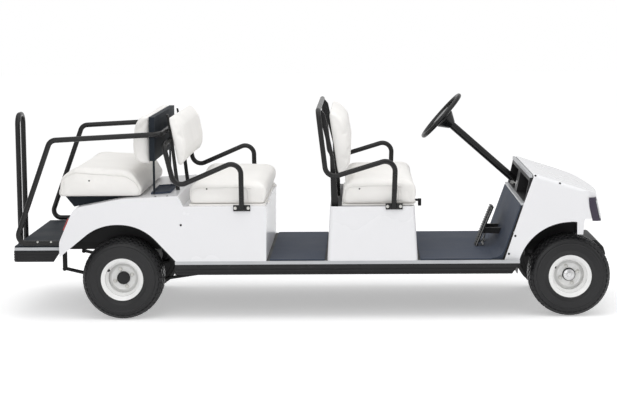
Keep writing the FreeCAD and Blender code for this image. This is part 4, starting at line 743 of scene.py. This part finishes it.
# %% Masters: nut, bolt, screw, snap
STUD = [(0.008, 0), (0.008, 0.005), (0.0155, 0.005), (0.0165, 0.004), (0.0165, 0)]
lug_nut = merge("lug_nut", [washer("nut_seat", 0.0115, 0.002), hexagon("nut", 0.0175, 0.010, 0.0015),
                            lathed("stud", STUD, (0, 0, 0), steps=16)])
bolt = merge("bolt", [washer("bolt_seat", 0.0088, 0.0016), hexagon("head", 0.013, 0.0055, 0.0014)])
SCREW = [(0, 0), (0, 0.0062), (0.0014, 0.0062), (0.0028, 0.0045), (0.0033, 0.0022), (0.0016, 0.0018),
         (0.0016, 0)]
screw = lathed("screw", SCREW, (0, 0, 0), steps=20)
SNAP = [(0, 0), (0, 0.0048), (0.001, 0.0048), (0.0022, 0.0034), (0.0026, 0)]
snap = lathed("snap", SNAP, (0, 0, 0), steps=16)
print("masters", [len(thing.data.polygons) for thing in (lug_nut, bolt, screw, snap)])

# %% [markdown]
# ## Wheel centres
# The front hubs carry a bright dust cap inside a dark ring, the rear ones a plain black cap. Four
# nuts stand round each, and a valve pokes out of the rim.

# %% Wheel hardware
DISC_OUT = 0.026      # the disc's face outside the wheel's centre plane
BOLT_CIRCLE = 0.0508
NUT_ANGLES = [math.radians(20 + 90 * i) for i in range(4)]
VALVE_CIRCLE, VALVE_OUT, VALVE_ANGLE = 0.0915, 0.054, math.radians(150)
BLACK_CAP = [(0.0175, 0), (0.0175, 0.028), (0.0165, 0.0335), (0.0135, 0.036), (0.0002, 0.0365),
             (0.0002, 0.0335), (0.0125, 0.0335), (0.0148, 0.031), (0.0148, 0)]
DARK_RING = [(0.0002, 0.0325), (0.0002, 0.0368), (0.004, 0.0368), (0.005, 0.036), (0.005, 0.0325)]
DUST_CAP = [(0.030, 0), (0.030, 0.012), (0.027, 0.0145), (0.0255, 0.022), (0.0235, 0.0265), (0.021, 0.0315),
            (0.006, 0.0325), (0.006, 0.0322), (0.0204, 0.030), (0.0204, 0)]
VALVE = [(-0.006, 0), (-0.006, 0.0075), (0.001, 0.0075), (0.004, 0.0045), (0.018, 0.0042), (0.0185, 0.0050),
         (0.0265, 0.0048), (0.0275, 0.0038), (0.0275, 0)]
valve = lathed("valve", VALVE, (0, 0, 0), steps=16)


def spoke(angle, radius):
    """A step out from a wheel's middle, in the wheel's own plane."""
    return Vector((math.cos(angle), 0, math.sin(angle))) * radius


for corner in ("front_left", "front_right", "rear_left", "rear_right"):
    hub = middle("tyre_" + corner)
    out = AXLE * math.copysign(1, hub.y)
    disc = hub + out * DISC_OUT
    body = BODY_OF["rim_" + corner]
    front = corner.startswith("front")
    if front:
        ring = lathed("dark_ring_" + corner, DARK_RING, (0, 0, 0), steps=40, closed=True)
        ring.data.transform(Matrix.Translation(disc) @ facing(out))
        dress(tidy(ring), body, BLACK_PLASTIC)
    cap = lathed("hub_cap_" + corner, DUST_CAP if front else BLACK_CAP, (0, 0, 0), steps=40)
    cap.data.transform(Matrix.Translation(disc) @ facing(out))
    dress(tidy(cap), body, SILVER if front else BLACK_PLASTIC)
    nuts = planted(lug_nut, "lug_nuts_" + corner, [(disc + spoke(a, BOLT_CIRCLE), out) for a in NUT_ANGLES])
    dress(nuts, body, STEEL)
    stem_foot = hub + spoke(VALVE_ANGLE, VALVE_CIRCLE) + out * VALVE_OUT
    dress(planted(valve, "valve_" + corner, [(stem_foot, out)]), body, BLACK_PLASTIC)

# %% [markdown]
# ## Bolts and screws on the body
# Plates, rails and panels are held by what a mechanic would reach for. Each fastener is drawn to the
# nearest surface of the piece that it holds.

# %% Fasteners
PLATE_BOLT_STEP, PLATE_SIDE = 0.036, 0.62
PLATES = (("front_seat_frame", 0.4885, 0.634), ("middle_seat_frame", -0.3555, 0.629))
for node, along, high in PLATES:
    spots = on_both_sides([(along + step, PLATE_SIDE, high) for step in (-PLATE_BOLT_STEP, PLATE_BOLT_STEP)])
    bolts = planted(bolt, node + "_bolts", stuck_to(nodes[node], spots))
    dress(bolts, BODY_OF[node], STEEL)
SCREWED = (
    # piece, name, finish, slot, places on one side (mirrored to the other)
    ("rear_body", "body_screws", CAST, "axle_steel",
     [(-0.6965, 0.60, 0.535), (-0.8385, 0.57, 0.705), (-0.772, 0.57, 0.705)]),
    ("front_cowl", "cowl_screws", CAST, "axle_steel",
     [(1.4075, 0.56, 0.757), (1.2722, 0.56, 0.80), (1.16, 0.57, 0.46), (1.125, 0.57, 0.36)]),
    ("grab_rails", "rail_screws", STEEL, "rod_steel", [(-1.4995, 0.60, 0.452), (-1.4242, 0.60, 0.452)]),
    ("wheel_liners", "liner_bolts", STEEL, "rod_steel",
     [(-1.1264, 0.50, 0.463), (-0.7803, 0.45, 0.30), (1.408, 0.45, 0.458), (1.2866, 0.45, 0.393)]),
    ("rocker_panels", "rocker_screws", CAST, "axle_steel",
     [(x / 10, 0.61, 0.304) for x in range(-6, 12, 3)]),
)
for node, name, finish, slot, points in SCREWED:
    dress(planted(screw, name, stuck_to(nodes[node], on_both_sides(points))), BODY_OF[node], finish)
SNAPS = (("front_cushion", (0.299, 0.60, 0.752)), ("middle_cushion", (-0.5528, 0.60, 0.752)),
         ("rear_cushion", (-1.2053, 0.60, 0.806)))
for node, place in SNAPS:
    foam = bpy.data.objects[node + "_foam"]
    dress(planted(snap, node + "_snaps", stuck_to(foam, on_both_sides([place]))), BODY_OF[node],
          CAST)
for master in (lug_nut, bolt, screw, snap, valve):
    bpy.data.objects.remove(master)

# %% [markdown]
# ## Strips and ribs
# The footboard has a bright strip round its edge and the bumper under it has moulded ribs. Both follow
# the same three-sided path, so the path is worked out once from the frame's box.

# %% Footboard strip, bumper ribs
def round_the_back(low, high, out, level, lean=0.0):
    """Right side, back and left side of a box, a little outside it."""
    return [Vector((high.x - lean, low.y - out, level)), Vector((low.x - out, low.y - out, level)),
            Vector((low.x - out, high.y + out, level)), Vector((high.x - lean, high.y + out, level))]


low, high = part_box("footboard")
STRIP_LOW, STRIP_HIGH, STRIP_THICK, STRIP_PROUD, STRIP_CORNER = 0.394, 0.411, 0.0024, 0.0002, 0.004
strip = drawn("footboard_strip", rounded(round_the_back(low, high, STRIP_PROUD, STRIP_LOW), STRIP_CORNER))
bpy.ops.mesh.select_all(action="SELECT")
bpy.ops.mesh.extrude_region_move(TRANSFORM_OT_translate={"value": (0, 0, STRIP_HIGH - STRIP_LOW)})
whole(strip, (bpy.ops.mesh.normals_make_consistent, {"inside": False}))
modify(strip, "SOLIDIFY", thickness=STRIP_THICK, offset=1.0)
modify(strip, "BEVEL", width=0.0006, segments=2, limit_method="ANGLE")
dress(tidy(strip), BODY_OF["footboard"], TRIM_GREY)

low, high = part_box("rear_bumper")
ribs = []
RAKE = 0.042            # how far the bumper's ends slope forward from top to bottom
RIB_COUNT, RIB_FIRST, RIB_STEP, RIB_RADIUS, RIB_SUNK, RIB_CORNER = 4, 0.010, 0.0145, 0.0032, 0.0005, 0.03
for i in range(RIB_COUNT):
    level = low.z + RIB_FIRST + RIB_STEP * i
    lean = RAKE * (high.z - level) / (high.z - low.z) + 0.002
    path = rounded(round_the_back(low, high, -RIB_SUNK, level, lean), RIB_CORNER, steps=8)
    ribs.append(swept("rib_%d" % i, path, RIB_RADIUS, 3, order=2))
dress(merge("bumper_ribs", ribs), BODY_OF["rear_bumper"], BLACK_PLASTIC)

# %% [markdown]
# ## Deck tray
# A shallow moulded tray lies on the deck between the two benches, where small things are put down. Two
# corners of a slab are rounded, its top is drawn in and pushed down to make the floor, and the slab is
# laid on the deck's slight slope.

# %% Deck tray
TRAY_LONG, TRAY_HALF, TRAY_HIGH, TRAY_WALL, TRAY_DEEP, TRAY_CORNER = 0.110, 0.205, 0.012, 0.008, 0.008, 0.045
DECK_AT = Vector((-0.823, -0.235, 0.6923))
DECK_LEAN = math.atan2(0.016, 0.320)
tray = block("deck_tray", (-TRAY_LONG / 2, -TRAY_HALF, -0.001), (TRAY_LONG / 2, TRAY_HALF, TRAY_HIGH))
for side in (-1, 1):
    select(tray, "verts", lambda at: at.x > 0 and at.y * side > 0)
    bpy.ops.mesh.bevel(offset=TRAY_CORNER, segments=7, affect="EDGES")
select(tray, "faces", lambda centre, normal: normal.z > 0.9)
bpy.ops.mesh.inset(thickness=TRAY_WALL)
bpy.ops.mesh.extrude_region_move(TRANSFORM_OT_translate={"value": (0, 0, -TRAY_DEEP)})
bpy.ops.object.mode_set(mode="OBJECT")
modify(tray, "BEVEL", width=0.003, segments=2, limit_method="ANGLE")
tray.data.transform(Matrix.Translation(DECK_AT) @ Matrix.Rotation(-DECK_LEAN, 4, "Y"))
dress(tidy(tray), BODY_OF["rear_body"], MAT_RUBBER)

# %% [markdown]
# ## Arch flanges
# Where each front arch runs out under the nose, a white flange closes the corner and turns down as a
# tab. It is a filled outline extruded to a sheet, with the tab's foot drawn in under the cowl.

# %% Arch flanges
FLANGE = [(1.460, 0.556), (1.548, 0.556), (1.543, 0.541), (1.538, 0.4635), (1.505, 0.4635),
          (1.5025, 0.5365), (1.460, 0.5385)]
FLANGE_THICK, COWL_SIDE, TAB_LEAN = 0.0026, 0.5603, 0.018
flange = slab("arch_flange_right", [Vector((x, 0, z)) for x, z in FLANGE], FLANGE_THICK / 2)
flange.data.transform(Matrix.Translation((0, FLANGE_THICK / 2 - COWL_SIDE, 0)))
select(flange, "verts", lambda at: at.z < 0.5)
bpy.ops.transform.translate(value=(0, TAB_LEAN, 0))
bpy.ops.object.mode_set(mode="OBJECT")
modify(flange, "BEVEL", width=0.0008, segments=2, limit_method="ANGLE")
dress(tidy(flange), BODY_OF["front_cowl"], WHITE_BODY)
dress(mirrored(flange, "arch_flange_left"), BODY_OF["front_cowl"], WHITE_BODY)

# %% [markdown]
# ## Pedals
# Each pad has a ladder of rubber ribs on its face, a bright edge down both sides and a link behind it.

# %% Pedal faces
PEDAL_LEAN = math.atan2(0.087, 0.2137)
PEDAL_LONG = 0.2307
PEDAL_FOOT = Vector((0.9685, 0, 0.3373))
UP = Vector((math.sin(PEDAL_LEAN), 0, math.cos(PEDAL_LEAN)))
FACE = Vector((-math.cos(PEDAL_LEAN), 0, math.sin(PEDAL_LEAN)))
PEDALS = (
    # name, place across, width, step forward
    ("accelerator", -0.045, 0.090, 0.0), ("brake", 0.130, 0.120, 0.020),
)
TREAD_RIBS, RIB_MARGIN, RIB_HALF, RIB_BACK, RIB_FRONT, RIB_EASE = 15, 0.004, 0.0032, 0.005, 0.001, 0.0012
EDGE_RADIUS, PIN_RADIUS, TIE_RADIUS = 0.0015, 0.006, 0.004
PIN_PLACE = Vector((0.045, 0, 0.012))
for name, across_at, wide, shift in PEDALS:
    base = PEDAL_FOOT + Vector((shift, across_at, 0))
    half = wide / 2 - RIB_MARGIN
    rib = block("rib", (-RIB_BACK, -half, -RIB_HALF), (RIB_FRONT, half, RIB_HALF), RIB_EASE)
    ribs = [copy_of(rib, Matrix.Translation(base + UP * PEDAL_LONG * (i + 0.7) / TREAD_RIBS)
                    @ Matrix.Rotation(PEDAL_LEAN, 4, "Y")) for i in range(TREAD_RIBS)]
    bpy.data.objects.remove(rib)
    dress(merge(name + "_ribs", ribs), BODY_OF["pedals"], BLACK_PLASTIC)
    edges = []
    for side in (-1, 1):
        rim = base + Vector((0, side * wide / 2, 0)) - FACE * 0.004
        line = [rim + UP * PEDAL_LONG * share for share in (0.02, 0.5, 0.98)]
        edges.append(swept("edge_%d" % side, line, EDGE_RADIUS, 2, order=2))
    hinge = base + PIN_PLACE
    end = wide * 0.3
    pin = lathed("hinge_pin", [(-end, 0), (-end, PIN_RADIUS), (end, PIN_RADIUS), (end, 0)], hinge, steps=16)
    route = [hinge, hinge + Vector((0.012, 0, 0.05)), base + UP * 0.13 - FACE * 0.012]
    tie_bar = swept("tie_bar", route, TIE_RADIUS, 3)
    dress(merge(name + "_link", edges + [pin, tie_bar]), BODY_OF["pedals"], STEEL)

# %% [markdown]
# ## Lamps and key
# A lens is a flat grid of faces cast onto the lamp's curved front, then thickened. The key stands in a
# round switch on the dash, beside the column.

# %% Headlamp lenses
low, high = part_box("headlamps")
LAMP_WIDE, LENS_EDGE, LENS_THICK, LENS_PROUD = 0.0607, 0.008, 0.003, 0.0006
CAST_FROM = 0.08        # the flat grid starts this far ahead of the lamps
width = LAMP_WIDE - 2 * LENS_EDGE
tall = high.z - low.z - 4 * LENS_EDGE
start = (high.x + CAST_FROM, low.y + LAMP_WIDE / 2, (low.z + high.z) / 2)
bpy.ops.mesh.primitive_grid_add(x_subdivisions=14, y_subdivisions=8, size=1, location=start,
                                rotation=(0, math.pi / 2, 0))
lens = bpy.context.object
lens.name = "headlamp_lens_right"
lens.scale = (tall, width, 1)
bpy.ops.object.transform_apply(location=True, rotation=True, scale=True)
modify(lens, "SHRINKWRAP", target=nodes["headlamps"], wrap_method="PROJECT", use_project_x=True,
       use_project_y=False, use_project_z=False, use_negative_direction=True, use_positive_direction=True,
       offset=LENS_PROUD)
modify(lens, "SOLIDIFY", thickness=LENS_THICK, offset=1.0)
modify(lens, "BEVEL", width=0.001, segments=2, limit_method="ANGLE")
dress(tidy(lens), BODY_OF["headlamps"], LENS)
dress(mirrored(lens, "headlamp_lens_left"), BODY_OF["headlamps"], LENS)

# %% Key switch
SWITCH_PLACE = (1.18, 0.04, 0.70)
place, out = stuck_to(nodes["dash"], [SWITCH_PLACE])[0]
SWITCH = [(-0.001, 0), (-0.001, 0.0150), (0.003, 0.0150), (0.0045, 0.0135), (0.0045, 0.0095), (0.0025, 0.009),
          (0.0025, 0)]
switch = lathed("key_switch", SWITCH, (0, 0, 0), steps=32)
switch.data.transform(Matrix.Translation(place) @ facing(out))
dress(tidy(switch), BODY_OF["dash"], SILVER)
KEY_STEPS = ((0.004, 2.3), (0.014, 1.0), (0.004, 0.6))     # how far out, and how much wider or narrower
key = block("key", (-0.0012, 0, -0.0045), (0.0012, 0.018, 0.0045), 0.0005, 1)
select(key, "faces", lambda centre, normal: normal.y > 0.9)
for far, wider in KEY_STEPS:
    bpy.ops.mesh.extrude_region_move(TRANSFORM_OT_translate={"value": (0, far, 0)})
    bpy.ops.transform.resize(value=(1, 1, wider))
bpy.ops.object.mode_set(mode="OBJECT")
key.data.transform(Matrix.Translation(place) @ facing(out))
dress(tidy(key), BODY_OF["dash"], STEEL)

# %% [markdown]
# ## Camera, floor and light
# The view is from the cart's right side, a little above the seats, through a long lens. The
# numbers were fitted to the wheels and body corners: a plain camera with no shift gives them back.

# %% Camera
YAW, PITCH, ROLL = (math.radians(a) for a in (1.733, 6.801, -0.535))
CAMERA_PLACE = (0.3096, -10.3401, 1.8035)
LENS_MM, SENSOR_MM = 103.45, 36.0
across = Vector((math.cos(YAW), math.sin(YAW), 0))
ahead = Vector((-math.sin(YAW), math.cos(YAW), 0))
look = ahead * math.cos(PITCH) - Vector((0, 0, math.sin(PITCH)))
above = Vector((0, 0, math.cos(PITCH))) + ahead * math.sin(PITCH)
right = across * math.cos(ROLL) + above * math.sin(ROLL)
top = above * math.cos(ROLL) - across * math.sin(ROLL)
bpy.ops.object.camera_add()
camera = bpy.context.object
camera.data.sensor_width = SENSOR_MM
camera.data.lens = LENS_MM
camera.data.clip_end = 60
basis = Matrix((right, top, -look)).transposed().to_4x4()
camera.matrix_world = Matrix.Translation(CAMERA_PLACE) @ basis
bpy.context.scene.camera = camera
print("camera %.2f mm at" % camera.data.lens, CAMERA_PLACE)

# %% Floor
PAPER, PAPER_GLOW = (0.86, 0.86, 0.865), 0.40
bpy.ops.mesh.primitive_plane_add(size=60, location=(0, 0, 0))
floor = bpy.context.object
floor.name = "studio_floor"
paper = bpy.data.materials.new("studio_paper")
paper.use_nodes = True
tree = paper.node_tree
shader = tree.nodes["Principled BSDF"]
shader.inputs["Base Color"].default_value = (*PAPER, 1)
shader.inputs["Roughness"].default_value = 0.9
shader.inputs["Specular IOR Level"].default_value = 0.1
path = tree.nodes.new("ShaderNodeLightPath")
seen = math_node(tree, "MAXIMUM", path.outputs["Is Camera Ray"], path.outputs["Is Glossy Ray"])
shader.inputs["Emission Color"].default_value = (1, 1, 1, 1)
link(tree, math_node(tree, "MULTIPLY", seen, PAPER_GLOW), shader.inputs["Emission Strength"])
floor.data.materials.append(paper)
print("floor", [round(side, 1) for side in floor.dimensions])

# %% Light
SKY, SKY_SEEN = 0.72, 1.0       # the sky's strength on the cart, and as the camera sees it
world = bpy.data.worlds.new("studio")
bpy.context.scene.world = world
world.use_nodes = True
tree = world.node_tree
sky = tree.nodes["Background"]
path = tree.nodes.new("ShaderNodeLightPath")
seen = math_node(tree, "MAXIMUM", path.outputs["Is Camera Ray"], path.outputs["Is Transmission Ray"])
sky.inputs["Color"].default_value = (1, 1, 1, 1)
link(tree, ramp(tree, seen, SKY, SKY_SEEN), sky.inputs["Strength"])
LAMPS = (
    # name, place, size, power
    ("overhead_softbox", (0.2, -0.6, 3.6), 4.5, 60),
    ("side_softbox", (-1.5, -5.5, 2.6), 3.5, 40),
    ("front_softbox", (5.0, -2.5, 2.4), 2.5, 20),
)
for name, place, size, power in LAMPS:
    bpy.ops.object.light_add(type="AREA", location=place)
    lamp = bpy.context.object
    lamp.name = name
    lamp.data.size = size
    lamp.data.energy = power
    aim = Vector((0, 0, 0.5)) - Vector(place)
    lamp.rotation_euler = aim.to_track_quat("-Z", "Y").to_euler()
bpy.context.scene.view_settings.view_transform = "Standard"
print("lamps", [name for name, *_ in LAMPS])

# %% Update the scene
bpy.context.view_layer.update()
